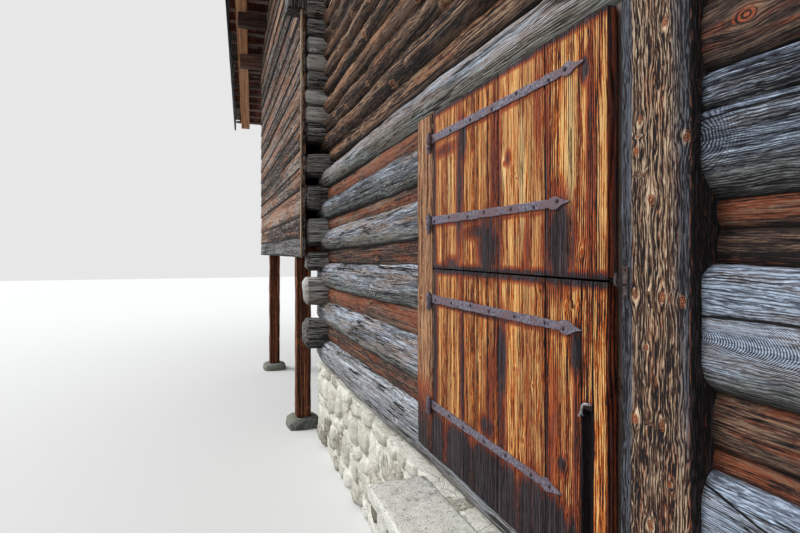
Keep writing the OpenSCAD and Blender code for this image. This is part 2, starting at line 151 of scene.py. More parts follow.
def finish_of(made_group, name, depth, colours, looks):
    """A material whose look comes from a group, with bump of a depth in metres."""
    made, tree, shader = finish(name)
    placed = tree.nodes.new("ShaderNodeGroup")
    placed.node_tree = made_group
    for socket, colour in zip(placed.inputs, colours):
        socket.default_value = tint(*colour)
    for label, value in looks.items():
        placed.inputs[label.replace("_", " ")].default_value = value
    bump = put(tree, "Bump", Height=placed.outputs["Height"], Strength=1.0, Distance=depth)
    tree.links.new(placed.outputs["Color"], shader.inputs["Base Color"])
    tree.links.new(bump.outputs["Normal"], shader.inputs["Normal"])
    return made, tree, shader, placed.outputs


def rough_stone_group():
    """Mottled stone with veins, lichen spots and pits, on object coordinates."""
    tree, given, out = group("rough_stone", {"Dark": tint(70, 70, 68), "Body": tint(150, 148, 140),
                             "Pale": tint(205, 203, 192), "Moss": tint(120, 125, 95), "Size": 1.0,
                             "Mossy": 0.7, "Veins": 0.35, "Specks": 0.45},
                             {"Color": "Color", "Height": "Float"})
    place = put(tree, "TexCoord").outputs["Object"]
    tone = put(tree, "Attribute", {"attribute_name": "tone"}).outputs["Fac"]
    scaled = put(tree, "VectorMath", {"operation": "SCALE"}, i0=place, i3=given["Size"]).outputs[0]
    broad = put(tree, "TexNoise", i0=scaled, Scale=2.2, Detail=4.0).outputs[0]
    fine = put(tree, "TexNoise", i0=scaled, Scale=26.0, Detail=7.0, Roughness=0.7).outputs[0]
    grit = put(tree, "TexNoise", i0=scaled, Scale=140.0, Detail=3.0).outputs[0]
    cells = put(tree, "TexVoronoi", {"feature": "DISTANCE_TO_EDGE"}, i0=scaled, Scale=7.0).outputs[0]
    value = calc(tree, "ADD", calc(tree, "MULTIPLY", fine, 0.8), calc(tree, "MULTIPLY", broad, 0.7))
    value = calc(tree, "ADD", value, calc(tree, "MULTIPLY", calc(tree, "SUBTRACT", tone, 0.5), 0.35))
    colour = mingle(tree, fade(tree, value, 0.45, 0.75), given["Dark"], given["Body"])
    colour = mingle(tree, fade(tree, value, 0.72, 0.98), colour, given["Pale"])
    mossy = calc(tree, "MULTIPLY", fade(tree, broad, 0.5, 0.66), given["Mossy"])
    colour = mingle(tree, mossy, colour, given["Moss"])
    crack = calc(tree, "MULTIPLY", fade(tree, cells, 0.0, 0.035, 1.0, 0.0), given["Veins"])
    colour = mingle(tree, crack, colour, given["Dark"])
    speck = calc(tree, "MULTIPLY", fade(tree, grit, 0.56, 0.66), given["Specks"])
    tree.links.new(mingle(tree, speck, colour, given["Dark"]), out["Color"])
    height = calc(tree, "ADD", calc(tree, "MULTIPLY", fine, 1.0), calc(tree, "MULTIPLY", grit, 0.3))
    tree.links.new(calc(tree, "SUBTRACT", height, crack), out["Height"])
    return tree


rough_stone = rough_stone_group()


def stone_finish(name, depth, dark, body, pale, moss, **looks):
    """A stone material from the group, with its own colours and amounts."""
    made, _, shader, _ = finish_of(rough_stone, name, depth, (dark, body, pale, moss), looks)
    shader.inputs["Roughness"].default_value = 0.88
    return made


limewash = stone_finish("limewash", 0.016, (112, 106, 92), (212, 208, 194), (244, 242, 232),
                        (166, 164, 140), Mossy=0.3, Veins=0.25, Specks=0.6)
fieldstone = stone_finish("fieldstone", 0.012, (66, 68, 66), (138, 138, 130), (196, 194, 184),
                          (112, 116, 92))


def pick(kind, test):
    """Selects the edges or faces of the mesh being edited that pass a test."""
    bpy.ops.mesh.select_mode(type=kind)
    bpy.ops.mesh.select_all(action="DESELECT")
    work = bmesh.from_edit_mesh(bpy.context.object.data)
    for part in {"EDGE": work.edges, "FACE": work.faces}[kind]:
        part.select_set(test(part))
    work.select_flush_mode()
    bmesh.update_edit_mesh(bpy.context.object.data)


def block(low, high):
    """A box between two corners, for a piece to be worked from."""
    only()
    bpy.ops.mesh.primitive_cube_add(size=1, location=[(a + b) / 2 for a, b in zip(low, high)],
                                    scale=[b - a for a, b in zip(low, high)])
    bpy.ops.object.transform_apply()
    return bpy.context.object


def worked(made, *cuts, edge=0.0, segments=2):
    """Eases the edges of a block and cuts up its long ones, each cut with a length and a count."""
    only(made)
    bpy.ops.object.mode_set(mode="EDIT")
    if edge:
        bpy.ops.mesh.select_all(action="SELECT")
        bpy.ops.mesh.bevel(offset=edge, segments=segments, affect="EDGES")
    for length, count in cuts:
        pick("EDGE", lambda e: e.calc_length() > length)
        bpy.ops.mesh.subdivide(number_cuts=count)
    bpy.ops.object.mode_set(mode="OBJECT")
    return made


def changed(piece, kind, **settings):
    """Runs a piece through one modifier."""
    only(piece)
    step = piece.modifiers.new(kind.lower(), kind)
    for name, value in settings.items():
        setattr(step, name, value)
    bpy.ops.object.modifier_apply(modifier=step.name)


def places_of(piece):
    """The places of a piece's vertices, as an n by 3 array."""
    places = np.empty(len(piece.data.vertices) * 3)
    piece.data.vertices.foreach_get("co", places)
    return places.reshape(-1, 3)


def shift(piece, move):
    """Moves the vertices of a piece by a rule on their x, y and z."""
    piece.data.vertices.foreach_set("co", np.column_stack(move(*places_of(piece).T)).ravel())
    piece.data.update()


def tell(piece, name, values):
    """Writes a value, or a vector, at every vertex for the material to read."""
    kind = "FLOAT" if np.ndim(values) < 2 else "FLOAT_VECTOR"
    layer = piece.data.attributes.new(name, kind, "POINT")
    if np.ndim(values) == 0:
        values = np.full(len(piece.data.vertices), float(values))
    layer.data.foreach_set("value" if kind == "FLOAT" else "vector", np.asarray(values, float).ravel())


def copy_of(piece, name):
    """A copy with its own mesh."""
    made = piece.copy()
    made.data = piece.data.copy()
    made.name = name
    bpy.context.collection.objects.link(made)
    return made


def build_in(parts, name, material, slot, *nodes, lay=None, waves=(), trim=None, angle=50, body="house"):
    """Joins parts into one named piece, lays it, roughens it with waves of a size and a depth, trims
    and shades it, gives it its material, and lets it ride and stand for CAD nodes. The slot is not used."""
    only()
    for part in parts:
        part.select_set(True)
    piece = bpy.context.view_layer.objects.active = parts[0]
    if len(parts) > 1:
        bpy.ops.object.join()
    piece.name = piece.data.name = name
    if lay:
        shift(piece, lay)
    for size, depth in waves:
        noise = bpy.data.textures.new("hand_work", "CLOUDS")
        noise.noise_scale = size
        changed(piece, "DISPLACE", texture=noise, texture_coords="LOCAL", strength=depth, mid_level=0.5)
    if trim:
        shift(piece, trim)
    if angle:
        only(piece)
        bpy.ops.object.shade_smooth_by_angle(angle=math.radians(angle))
    piece.data.materials.clear()
    piece.data.materials.append(material)
    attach(piece, body)
    if nodes:
        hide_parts(*nodes)


def boulder(detail):
    """One rounded block of stone of unit size, somewhat squared."""
    only()
    bpy.ops.mesh.primitive_ico_sphere_add(subdivisions=detail, radius=0.5)
    made = bpy.context.object
    changed(made, "CAST", cast_type="CUBOID", factor=0.55)
    return made


STONE_DEPTH, SMALLEST = 0.16, 0.08


def rubble_face(along, start, end, line, inward, height, dice, fine_to=-99.0):
    """Stones laid in rough courses over one face of a wall that runs along X or Y."""
    stones, low = [], 0.0
    while low < height - SMALLEST:
        tall = min(dice.uniform(0.10, 0.27), height - low)
        place = start
        while place < end - 0.06:
            wide = min(dice.uniform(0.12, 0.42), end - place)
            stone = copy_of(block_near if place < fine_to else block_far, "stone")
            grow = dice.uniform(0.85, 1.12)
            middle, rise = place + wide / 2, low + tall / 2 + dice.uniform(-0.03, 0.03)
            face = line + inward * dice.uniform(0.045, 0.075)
            size, spot, axis = (wide * 1.02, STONE_DEPTH, tall * grow), (middle, face, rise), "Y"
            if along == "Y":
                size, spot, axis = (STONE_DEPTH, wide * 1.02, tall * grow), (face, middle, rise), "X"
            turn = Matrix.Rotation(dice.uniform(-0.35, 0.35), 4, axis)
            stone.data.transform(Matrix.Translation(spot) @ turn @ Matrix.Diagonal((*size, 1)))
            tell(stone, "tone", dice.random())
            stones.append(stone)
            place += wide
        low += tall
    return stones


def mortar(low, high, *cuts):
    """The mortar behind the stones: a block with enough faces to be made uneven."""
    core = worked(block(low, high), *cuts)
    tell(core, "tone", 0.9)
    return core


# Left of the doorstep the front is seen close, and its stones are made finer
DOORSTEP, MORTAR_IN, WALL_TOP, LIP = 2.4, 0.007, 0.9, 0.034
FRONT_THICK, SIDE_MIDDLE, SIDE_HALF, PAD_HALF, PAD_TOP = 0.48, 0.24, 0.215, 0.185, 0.118
block_near, block_far = boulder(3), boulder(2)
dice = random.Random(11)
rubble = []
for name, side, inward, fine_to in (("plinth_front", 0, 1, DOORSTEP), ("plinth_back", 1, -1, -99.0)):
    lo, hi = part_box(name)
    line = (lo, hi)[side][1]
    core = mortar((lo[0] + MORTAR_IN, lo[1] + MORTAR_IN, lo[2]),
                  (hi[0] - MORTAR_IN, hi[1] - MORTAR_IN, hi[2]), (2, 220), (0.4, 12))
    rubble.append((name, [core] + rubble_face("X", lo[0], hi[0], line, inward, hi[2], dice, fine_to)))
lo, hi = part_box("plinth_sides")
sides = []
for x, inward in ((lo[0], 1), (hi[0], -1)):
    sides += rubble_face("Y", lo[1] - FRONT_THICK, hi[1] + FRONT_THICK, x, inward, hi[2], dice)
    middle = x + inward * SIDE_MIDDLE
    sides.append(mortar((middle - SIDE_HALF, lo[1], 0), (middle + SIDE_HALF, hi[1], hi[2]), (0.5, 8)))
rubble.append(("plinth_sides", sides))


def levelled(x, y, z):
    """Presses the stones down to the top of the plinth and up to the ground."""
    return x, y, np.where(z > WALL_TOP, WALL_TOP + LIP * np.tanh((z - WALL_TOP) / LIP), np.maximum(z, 0))


for node, parts in rubble:
    build_in(parts, f"{node.replace('sides', 'side')}_stones", limewash, "stone", node,
             waves=((0.16, 0.05), (0.04, 0.018)), trim=levelled, angle=75)
pads = []
lo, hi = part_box("post_pads")
for x in (lo[0] + PAD_HALF, hi[0] - PAD_HALF):
    for y in (lo[1] + PAD_HALF, hi[1] - PAD_HALF):
        pad = copy_of(block_near, "pad")
        pad.data.transform(Matrix.Translation((x, y, 0.02)) @ Matrix.Diagonal((0.46, 0.44, 0.22, 1)))
        tell(pad, "tone", dice.random())
        pads.append(pad)
build_in(pads, "post_pad_stones", fieldstone, "stone", "post_pads", waves=((0.2, 0.03),), angle=75,
         trim=lambda x, y, z: (x, y, np.clip(z, 0, PAD_TOP)))
for blank in (block_near, block_far):
    bpy.data.objects.remove(blank)

# The big logs of the lower front wall: larch trunks hewn flat on two faces with the axe, grey from
# the weather, their ends standing out past the cross wall. Small logs lie set back between them.
NO_CLEFT = 50.0


def weathered_wood_group():
    """Old timber read along its own grain: thin ridges of hard wood, growth rings, knots that push
    both aside, streaks, broken fibres, crumbs and drying cracks. The grain attribute is measured from
    the pith, rim runs from -1 to 1 across the timber, knots gives the way to the nearest placed knot
    and its size, cleft the distance to a long split in widths of it, past NO_CLEFT, hewn marks bare
    rings, bleach marks greyed places and soot_and_shade blackened ones, real stains and painted shade
    alike. Shade is also painted on surfaces that face down, and along the top and bottom edges by rim."""
    tree, given, out = group(
        "weathered_wood",
        {"Deep": tint(40, 34, 32), "Body": tint(110, 100, 95), "Pale": tint(175, 170, 165),
         "Warm": tint(150, 95, 60), "Under": tint(120, 118, 98), "Dirt": tint(16, 14, 15),
         "Bleached": tint(118, 120, 128), "Waviness": 0.006, "Line Width": 0.014, "Lines": 0.64,
         "Line Sharpness": 2.0, "Ring Width": 0.0035, "Rings": 0.0, "Groove": 2.0, "Wander": 0.01,
         "Streaks": 0.6, "Fibres": 0.5, "Crumbs": 0.2, "Fineness": 1.0, "Cracks": 1.0,
         "Crack Width": 1.0, "Knot Size": 0.02, "Knot Gap": 0.8, "Halo": 0.7, "Curl": 0.0,
         "Warmth": 0.4, "Shelter": 0.0, "Dark Low": 0.0, "Dark High": 0.0, "Spread": 0.4},
        {"Color": "Color", "Height": "Float", "Roughness": "Float"})

    def told(name, kind="Fac"):
        return put(tree, "Attribute", {"attribute_name": name}).outputs[kind]

    def chain(operation, values):
        total = values[0]
        for value in values[1:]:
            total = calc(tree, operation, total, value)
        return total

    def times(*values):
        return chain("MULTIPLY", values)

    def plus(*values):
        return chain("ADD", values)

    def less(first, second):
        return calc(tree, "SUBTRACT", first, second)

    def centred(value):
        return less(value, 0.5)

    def reach_of(first, second):
        return calc(tree, "SQRT", plus(times(first, first), times(second, second)))

    def parts_of(vector):
        return put(tree, "SeparateXYZ", i0=vector).outputs

    def vector_of(**parts):
        return put(tree, "CombineXYZ", **parts).outputs[0]

    def switched(amount, first, second):
        return put(tree, "Mix", i0=amount, i2=first, i3=second).outputs[0]

    def ridges(place, width, sharpness):
        wave = calc(tree, "SINE", times(calc(tree, "DIVIDE", place, width), 6.2832))
        hollow = calc(tree, "POWER", calc(tree, "MULTIPLY_ADD", wave, 0.5, 0.5), sharpness)
        return less(1.0, hollow)

    def noise(vector, x, y, detail, rough, twist=0.0):
        long = put(tree, "VectorMath", {"operation": "MULTIPLY"}, i0=vector, i1=(x, y, y)).outputs[0]
        scaled = put(tree, "VectorMath", {"operation": "SCALE"}, i0=long, i3=given["Fineness"]).outputs[0]
        return put(tree, "TexNoise", i0=scaled, Scale=1.0, Detail=detail, Roughness=rough,
                   Distortion=twist).outputs[0]

    grain, tone, rim, hewn = told("grain", "Vector"), told("tone"), told("rim"), told("hewn")
    axes = parts_of(grain)
    depth = reach_of(axes[1], axes[2])
    round_it = calc(tree, "ARCTAN2", axes[2], axes[1])
    gap = given["Knot Gap"]
    cell_x, cell_y = calc(tree, "DIVIDE", axes[0], gap), times(round_it, 0.62)
    cells = put(tree, "TexVoronoi", {"voronoi_dimensions": "2D"}, Scale=1.0,
                Vector=vector_of(i0=cell_x, i1=cell_y))
    centre = parts_of(cells.outputs["Position"])
    chance = put(tree, "SeparateColor", i0=cells.outputs["Color"]).outputs
    side = times(less(centre[0], cell_x), gap, 0.7)
    over = times(less(centre[1], cell_y), 0.24)
    wild_size = times(given["Knot Size"], fade(tree, chance[0], 0.2, 1.0, 0.4, 1.4))
    near = calc(tree, "DIVIDE", reach_of(side, over), wild_size)
    near = plus(near, fade(tree, chance[1], 0.35, 0.4, 60.0, 0.0), fade(tree, depth, 0.02, 0.05, 60.0, 0.0))
    placed = parts_of(told("knots", "Vector"))
    own_size = calc(tree, "MAXIMUM", placed[2], 0.001)
    placed_near = calc(tree, "SQRT", plus(times(placed[0], placed[0], 0.6), times(placed[1], placed[1])))
    placed_near = plus(calc(tree, "DIVIDE", placed_near, own_size),
                       fade(tree, placed[2], 0.001, 0.002, 60.0, 0.0))
    chosen = calc(tree, "LESS_THAN", placed_near, near)
    near = calc(tree, "MINIMUM", near, placed_near)
    over = switched(chosen, over, times(placed[1], -1.0))
    reach = calc(tree, "DIVIDE", near, 1.9)
    pull = calc(tree, "EXPONENT", times(reach, reach, -1.0))

    wander = centred(noise(grain, 0.9, 5.0, 2.0, 0.5))
    led = put(tree, "VectorMath", {"operation": "ADD"}, i0=grain,
              i1=vector_of(i2=times(over, pull, 0.9))).outputs[0]
    patches = noise(grain, 1.0, 9.0, 3.0, 0.6)
    streaks = noise(led, 0.5, 26.0, 4.0, 0.6)
    fibres = noise(led, 4.0, 90.0, 5.0, 0.68)
    crumbs = noise(led, 14.0, 110.0, 4.0, 0.7, 0.4)
    fibre, streak, crumb = centred(fibres), centred(streaks), centred(crumbs)
    rough_near = plus(near, times(fibre, 1.8), times(crumb, 1.2))
    knot = fade(tree, rough_near, 0.75, 1.1, 1.0, 0.0)
    halo = fade(tree, rough_near, 1.0, 2.2, 1.0, 0.0)

    led = parts_of(led)
    radius = reach_of(led[1], led[2])
    ring = ridges(plus(radius, times(wander, given["Wander"]), times(fibre, 0.0015)),
                  given["Ring Width"], given["Groove"])
    cut = parts_of(told("cut", "Vector"))
    bared = plus(reach_of(cut[0], cut[1]), times(wander, 0.018), times(centred(patches), 0.006),
                 times(fibre, 0.0035))
    ring = switched(calc(tree, "GREATER_THAN", hewn, 0.01), ring, ridges(bared, given["Ring Width"], 1.2))
    own = calc(tree, "MULTIPLY_ADD", calc(tree, "SINE", times(near, 13.0)), 0.5, 0.5)
    ring = switched(knot, ring, own)
    rings = plus(given["Rings"], times(hewn, 0.68))
    curl = times(centred(noise(grain, 4.0, 13.0, 2.0, 0.55)), given["Curl"])
    line = plus(led[2], times(led[1], 0.6), curl, times(wander, 0.05), times(fibre, given["Waviness"]),
                times(streak, 0.02))
    line = ridges(line, given["Line Width"], given["Line Sharpness"])
    lines = times(given["Lines"], less(1.0, times(hewn, 0.8)), fade(tree, crumbs, 0.3, 0.6, 0.35, 1.2),
                  fade(tree, patches, 0.35, 0.62, 0.5, 1.15))
    value = plus(0.5, times(streak, given["Streaks"], 3.0),
                 times(fibre, given["Fibres"], less(3.2, times(hewn, 2.2))),
                 times(crumb, given["Crumbs"], 2.6), times(less(ring, 0.62), rings),
                 times(less(line, 0.62), lines), times(centred(tone), given["Spread"]))

    def graded(low, high, dark, light, most=1.0):
        return mingle(tree, fade(tree, value, low, high, 0.0, most), dark, light)

    colour = graded(0.05, 0.5, given["Deep"], given["Body"])
    colour = graded(0.5, 1.0, colour, given["Pale"])
    lit = graded(0.1, 0.6, given["Deep"], given["Warm"])
    lit = graded(0.7, 1.15, lit, given["Pale"], 0.7)
    warm = times(fade(tree, plus(patches, times(centred(tone), 0.16)), 0.45, 0.62), given["Warmth"])
    colour = mingle(tree, warm, colour, lit)
    facing = parts_of(put(tree, "NewGeometry").outputs["Normal"])[2]
    # Painted shade: surfaces that face down are mixed towards the Under colour and darkened as shade. On the
    # grey logs this also carries a greenish tint of their own.
    underside_tint_and_shade = times(fade(tree, facing, 0.15, -0.6), given["Shelter"])
    colour = mingle(tree, underside_tint_and_shade, colour, graded(0.1, 0.8, given["Deep"], given["Under"]))
    greyed = times(told("bleach"), plus(1.0, times(streak, 1.6), times(fibre, 0.8)))
    colour = mingle(tree, fade(tree, greyed, 0.3, 0.65), colour,
                    graded(-0.1, 0.9, given["Deep"], given["Bleached"]))
    edge_of_knot = times(fade(tree, rough_near, 1.1, 1.9, 1.0, 0.0), given["Halo"])
    colour = mingle(tree, edge_of_knot, colour, graded(0.05, 0.55, given["Deep"], given["Pale"]))
    ruddy = mingle(tree, 0.45, given["Warm"], given["Body"])
    heart = fade(tree, plus(times(ring, 0.6), times(fibres, 0.6)), 0.3, 0.75)
    colour = mingle(tree, times(knot, 0.92), colour, mingle(tree, heart, given["Deep"], ruddy))
    # Painted shade: the top and bottom edges of each timber, found by rim, are darkened as shade between the
    # logs and under the laps.
    ragged_rim = plus(rim, times(fibre, 0.5), times(streak, 0.35))
    painted_edge_shade = plus(times(fade(tree, ragged_rim, 0.66, 0.97), given["Dark High"]),
                times(fade(tree, ragged_rim, -0.66, -0.97), given["Dark Low"]))
    colour = mingle(tree, painted_edge_shade, colour, given["Dirt"])
    # soot_and_shade blackens real stains, and also painted shade and painted shadows where a piece lays them
    # on.
    black = times(told("soot_and_shade"), plus(1.0, times(streak, 3.6), times(fibre, 3.0)))
    stain_and_shade_brown = graded(0.1, 0.85, given["Deep"], given["Warm"])
    colour = mingle(tree, fade(tree, black, 0.1, 0.45, 0.0, 0.85), colour, stain_and_shade_brown)
    stain_and_shade_black = graded(0.45, 1.1, given["Dirt"], tint(66, 62, 70))
    colour = mingle(tree, fade(tree, black, 0.42, 0.9, 0.0, 0.97), colour, stain_and_shade_black)

    split = put(tree, "TexNoise", {"noise_dimensions": "2D"}, Scale=1.0, Detail=4.0, Roughness=0.5,
                Vector=vector_of(i0=times(axes[0], 0.6), i1=times(round_it, 3.4))).outputs[0]
    split = calc(tree, "DIVIDE", calc(tree, "ABSOLUTE", centred(split)), given["Crack Width"])
    crack = times(fade(tree, split, 0.003, 0.014, 1.0, 0.0), fade(tree, wander, -0.02, 0.06),
                  given["Cracks"])
    cleft = calc(tree, "ABSOLUTE", plus(told("cleft"), -NO_CLEFT, times(fibre, 2.0)))
    crack = calc(tree, "MAXIMUM", crack, fade(tree, cleft, 0.5, 1.3, 1.0, 0.0))
    tree.links.new(mingle(tree, crack, colour, given["Dirt"]), out["Color"])
    tree.links.new(plus(fibres, times(crumbs, given["Crumbs"], 1.3), times(streaks, 0.5),
                        times(ring, rings, 0.4), times(line, lines, 0.5), times(crack, -1.4),
                        times(halo, 0.3)), out["Height"])
    tree.links.new(fade(tree, value, 0.2, 0.9, 0.92, 0.7), out["Roughness"])
    return tree


weathered_wood = weathered_wood_group()


def wood_finish(name, depth, deep, body, pale, warm, **looks):
    """A wood material from the group, with its own colours and amounts."""
    made, tree, shader, told = finish_of(weathered_wood, name, depth, (deep, body, pale, warm), looks)
    tree.links.new(told["Roughness"], shader.inputs["Roughness"])
    shader.inputs["Specular IOR Level"].default_value = 0.3
    return made


def timber(length, thick, high, rounding, across, cuts, blunt=0.03):
    """A squared timber along X with rounded long edges, eased ends and enough faces to be hewn."""
    half = (length / 2 - blunt, thick / 2, high / 2)
    made = block([-n for n in half], half)
    bpy.ops.object.mode_set(mode="EDIT")

    def lengthwise(e):
        way = e.verts[1].co - e.verts[0].co
        return abs(way.x) > 0.9 * way.length

    pick("EDGE", lengthwise)
    bpy.ops.mesh.bevel(offset=rounding, segments=3, affect="EDGES")
    if across:
        flat = min(thick, high) - 2 * rounding
        pick("EDGE", lambda e: not lengthwise(e) and e.calc_length() > 0.9 * flat)
        bpy.ops.mesh.subdivide(number_cuts=across)
    pick("EDGE", lengthwise)
    bpy.ops.mesh.subdivide(number_cuts=cuts)
    pick("FACE", lambda f: abs(f.normal.x) > 0.99)
    bpy.ops.mesh.inset(thickness=min(rounding, 0.35 * min(thick, high)) * 0.6)
    bpy.ops.transform.resize(value=(length / (length - 2 * blunt), 1, 1))
    bpy.ops.object.mode_set(mode="OBJECT")
    return made


def grained(piece, dice, pith=(0, 0), tone=None, knots=(), patch=None, cleft=None):
    """Writes a timber's own grain, from its pith, before it is put in its place. Each knot is a
    place along and across the timber and a size. A patch is a cut that lays the rings bare: its
    place, reach along and across, how it slants to the pith, its squeeze and its depth there. A
    cleft is a long split: its height at x = 0, slope, half width, start and end."""
    x, y, z = places_of(piece).T
    tell(piece, "rim", z / np.abs(z).max())
    tell(piece, "tone", dice.random() if tone is None else tone)
    if knots:
        way = np.array([[x - at, z - level, np.full(len(x), size)] for at, level, size in knots])
        gap = np.hypot(way[:, 0], way[:, 1]) / way[:, 2]
        nearest = way[gap.argmin(axis=0), :, np.arange(len(x))]
        nearest[:, :2][gap.min(axis=0) > 6] = 9
        tell(piece, "knots", nearest)
    if cleft:
        level, slope, half, start, end = cleft
        gap = (z - level - slope * x - 0.004 * np.sin(7 * x)) / half
        past = np.maximum(0, np.maximum(start - x, x - end)) / 0.06
        tell(piece, "cleft", NO_CLEFT + gap + np.sign(gap) * past)
    if patch:
        at, level, wide, high, slant, squeeze, start = patch
        mask = 1.6 * np.exp(-((x - at) / wide) ** 2 - ((z - level) / high) ** 2)
        tell(piece, "hewn", np.clip(mask, 0, 1))
        tell(piece, "cut", np.column_stack((start + slant * (x - at), squeeze * (z - level), 0 * x)))
    tell(piece, "grain", np.column_stack((x + dice.uniform(0, 90), pith[0] - y, z + pith[1])))


def log_at(blank, dice, x0, x1, line, z0, z1, swell):
    """A copy of a blank as one log along X, from x0 to x1 and z0 to z1, bulging a little."""
    log = copy_of(blank, "log")
    reach, tall = [max(v.co[n] for v in blank.data.vertices) for n in (0, 2)]
    half = (z1 - z0) / 2
    log.data.transform(Matrix.Diagonal(((x1 - x0) / 2 / reach, 1, half / tall, 1)))
    grained(log, dice, (dice.uniform(-0.03, 0.03), dice.uniform(-0.03, 0.03)))
    shift(log, lambda x, y, z: (
        x + (x0 + x1) / 2, y + np.sign(y) * swell * (1 - np.clip(np.abs(z) / half, 0, 1) ** 2) + line,
        z + (z0 + z1) / 2))
    return log


WALL_LINE, INNER_FACE = 4.85, 0.15


def hewn_log(blank, dice, stations, facets, **looks):
    """A log of the front wall that follows stations of x, lowest and highest z, and how far its face
    stands out. The facets give where the upper and lower slants start and how far they fall back."""
    log = copy_of(blank, "log")
    xs, lows, highs, outs = np.array(stations, float).T
    spans = [max(abs(v.co[n]) for v in blank.data.vertices) for n in range(3)]
    half = (highs[-1] - lows[-1]) / 2
    log.data.transform(Matrix.Diagonal(((xs[-1] - xs[0]) / 2 / spans[0], outs[-1] / spans[1],
                                        half / spans[2], 1)))
    grained(log, dice, **looks)
    wave, start = dice.uniform(1.5, 3.0), dice.uniform(0, 6)
    top, fall, foot, cut = facets

    def hew(x, y, z):
        x = x + (xs[0] + xs[-1]) / 2
        t, v = z / half, y / outs[-1]
        turn = 0.12 * np.sin(x * wave + start)
        back = fall * np.clip((t - top - turn) / (1 - top), 0, 2)
        back += cut * np.clip((-t - foot + turn) / (1 - foot), 0, 2)
        low, high = np.interp(x, xs, lows), np.interp(x, xs, highs)
        out = np.where(v < 0, np.interp(x, xs, outs), INNER_FACE)
        return x, v * (out - back) - WALL_LINE, (low + high) / 2 + t * (high - low) / 2

    shift(log, hew)
    return log


# Under with Shelter paints shade on the logs' undersides, and Dark_Low and Dark_High paint shade along their
# lower and upper edges, between the logs.
grey_log = wood_finish("grey_log", 0.012, (38, 38, 42), (116, 119, 127), (206, 216, 230), (176, 132, 88),
                       Under=tint(140, 146, 130), Line_Width=0.01, Lines=0.6, Rings=0.05, Streaks=0.55,
                       Fibres=0.7, Crumbs=0.5, Fineness=1.3, Crack_Width=2.6, Knot_Size=0.018, Knot_Gap=1.1,
                       Warmth=0.5, Shelter=0.6, Dark_Low=0.85, Spread=0.3)
near_log = wood_finish("near_log", 0.01, (32, 34, 42), (110, 119, 136), (208, 226, 250), (158, 124, 92),
                       Under=tint(136, 132, 112), Line_Width=0.0075, Lines=0.75, Line_Sharpness=2.6,
                       Streaks=0.45, Fibres=0.6, Crumbs=0.5, Fineness=2.2, Knot_Gap=1.3, Curl=0.02,
                       Warmth=0.35, Shelter=0.7, Dark_Low=0.8, Spread=0.7)
sill_wood = wood_finish("sill_wood", 0.01, (48, 48, 52), (150, 153, 160), (230, 236, 244), (160, 138, 112),
                        Under=tint(126, 122, 106), Line_Width=0.0075, Lines=0.6, Line_Sharpness=2.6,
                        Streaks=0.55, Fibres=0.6, Crumbs=0.4, Fineness=2.0, Crack_Width=2.6, Knot_Gap=1.3,
                        Warmth=0.35, Shelter=0.6, Dark_Low=0.7, Spread=0.2)
brown_log = wood_finish("brown_log", 0.012, (32, 26, 26), (84, 66, 60), (152, 122, 100), (196, 92, 44),
                        Under=tint(80, 66, 56), Line_Width=0.008, Lines=0.45, Rings=0.05, Streaks=0.75,
                        Fibres=0.8, Crumbs=0.7, Fineness=2.0, Crack_Width=1.3, Knot_Size=0.029, Warmth=0.55,
                        Shelter=0.3, Dark_Low=0.8, Dark_High=0.8, Spread=0.5)
dice = random.Random(5)
FRONT_LOGS = [(1.445, 1.730), (1.915, 2.210), (2.390, 2.650), (2.760, 3.005)]
SMALL_LOGS = [(1.270, 1.445), (1.730, 1.915), (2.210, 2.390), (2.650, 2.760), (3.005, 3.135)]
LEFT_END, CROSS_FACE, HINGE_POST_EDGE = -1.72, -1.15, 1.9205
LATCH_POST_EDGE, RIGHT_FACE, RIGHT_END = 3.9935, 7.02, 7.59
NECK = 0.12


def partway(corner, jamb, share):
    """The foot and the head of a log some way from the corner to the door's post."""
    return [a + (b - a) * share for a, b in zip(corner, jamb)]


def to_left_corner(jamb, corner, out=0.155, nose=0.215):
    """Stations of a log from its end past the left corner to the hinge post."""
    low, high = corner
    pinch = (high - low) * NECK
    return [(LEFT_END, low, high, 0.17), (-1.50, low, high, 0.18),
            (-1.46, low + pinch, high - pinch, 0.14),
            (-1.42, low + pinch / 2, high - pinch / 2, nose - 0.05), (-1.38, low, high, nose),
            (0.3, *partway(corner, jamb, 0.45), nose - 0.02), (HINGE_POST_EDGE, *jamb, out)]


def to_right_corner(jamb, corner, out=0.155):
    """Stations of a log from the latch post to its end past the right corner."""
    low, high = corner
    pinch = (high - low) * NECK
    return [(LATCH_POST_EDGE, *jamb, out), (4.5, *partway(corner, jamb, 0.8), out + 0.03),
            (6.9, low, high, 0.165), (7.0, low + pinch, high - pinch, 0.12),
            (7.34, low + pinch, high - pinch, 0.11), (7.38, low, high, 0.14), (RIGHT_END, low, high, 0.14)]


def any_pith(dice):
    """Where the heart of a trunk lies in its log."""
    return dice.uniform(-0.03, 0.02), dice.uniform(-0.03, 0.03)


big = timber(3.6, 0.27, 0.285, 0.03, 6, 150, 0.016)
small = timber(3.1, 0.21, 0.16, 0.03, 3, 120, 0.012)
LEFT_FALL = [(1.42, 1.70), (1.875, 2.158), (2.324, 2.560), (2.690, 2.920)]
lefts = [hewn_log(big, dice, to_left_corner((z0 - 0.01, z1 + 0.01), corner),
                  (dice.uniform(0.05, 0.35), 0.055, dice.uniform(0.2, 0.45), 0.045), pith=any_pith(dice))
         for (z0, z1), corner in zip(FRONT_LOGS, LEFT_FALL)]
LEFT_SMALL = [(1.23, 1.43), (1.69, 1.885), (2.15, 2.335), (2.55, 2.70), (2.91, 3.08)]
left_smalls = [hewn_log(small, dice, [(CROSS_FACE - 0.05, *low, 0.135),
                                      (HINGE_POST_EDGE, z0 - 0.012, z1 + 0.012, 0.115)],
                        (0.3, 0.02, 0.3, 0.02), pith=any_pith(dice))
               for (z0, z1), low in zip(SMALL_LOGS, LEFT_SMALL)]
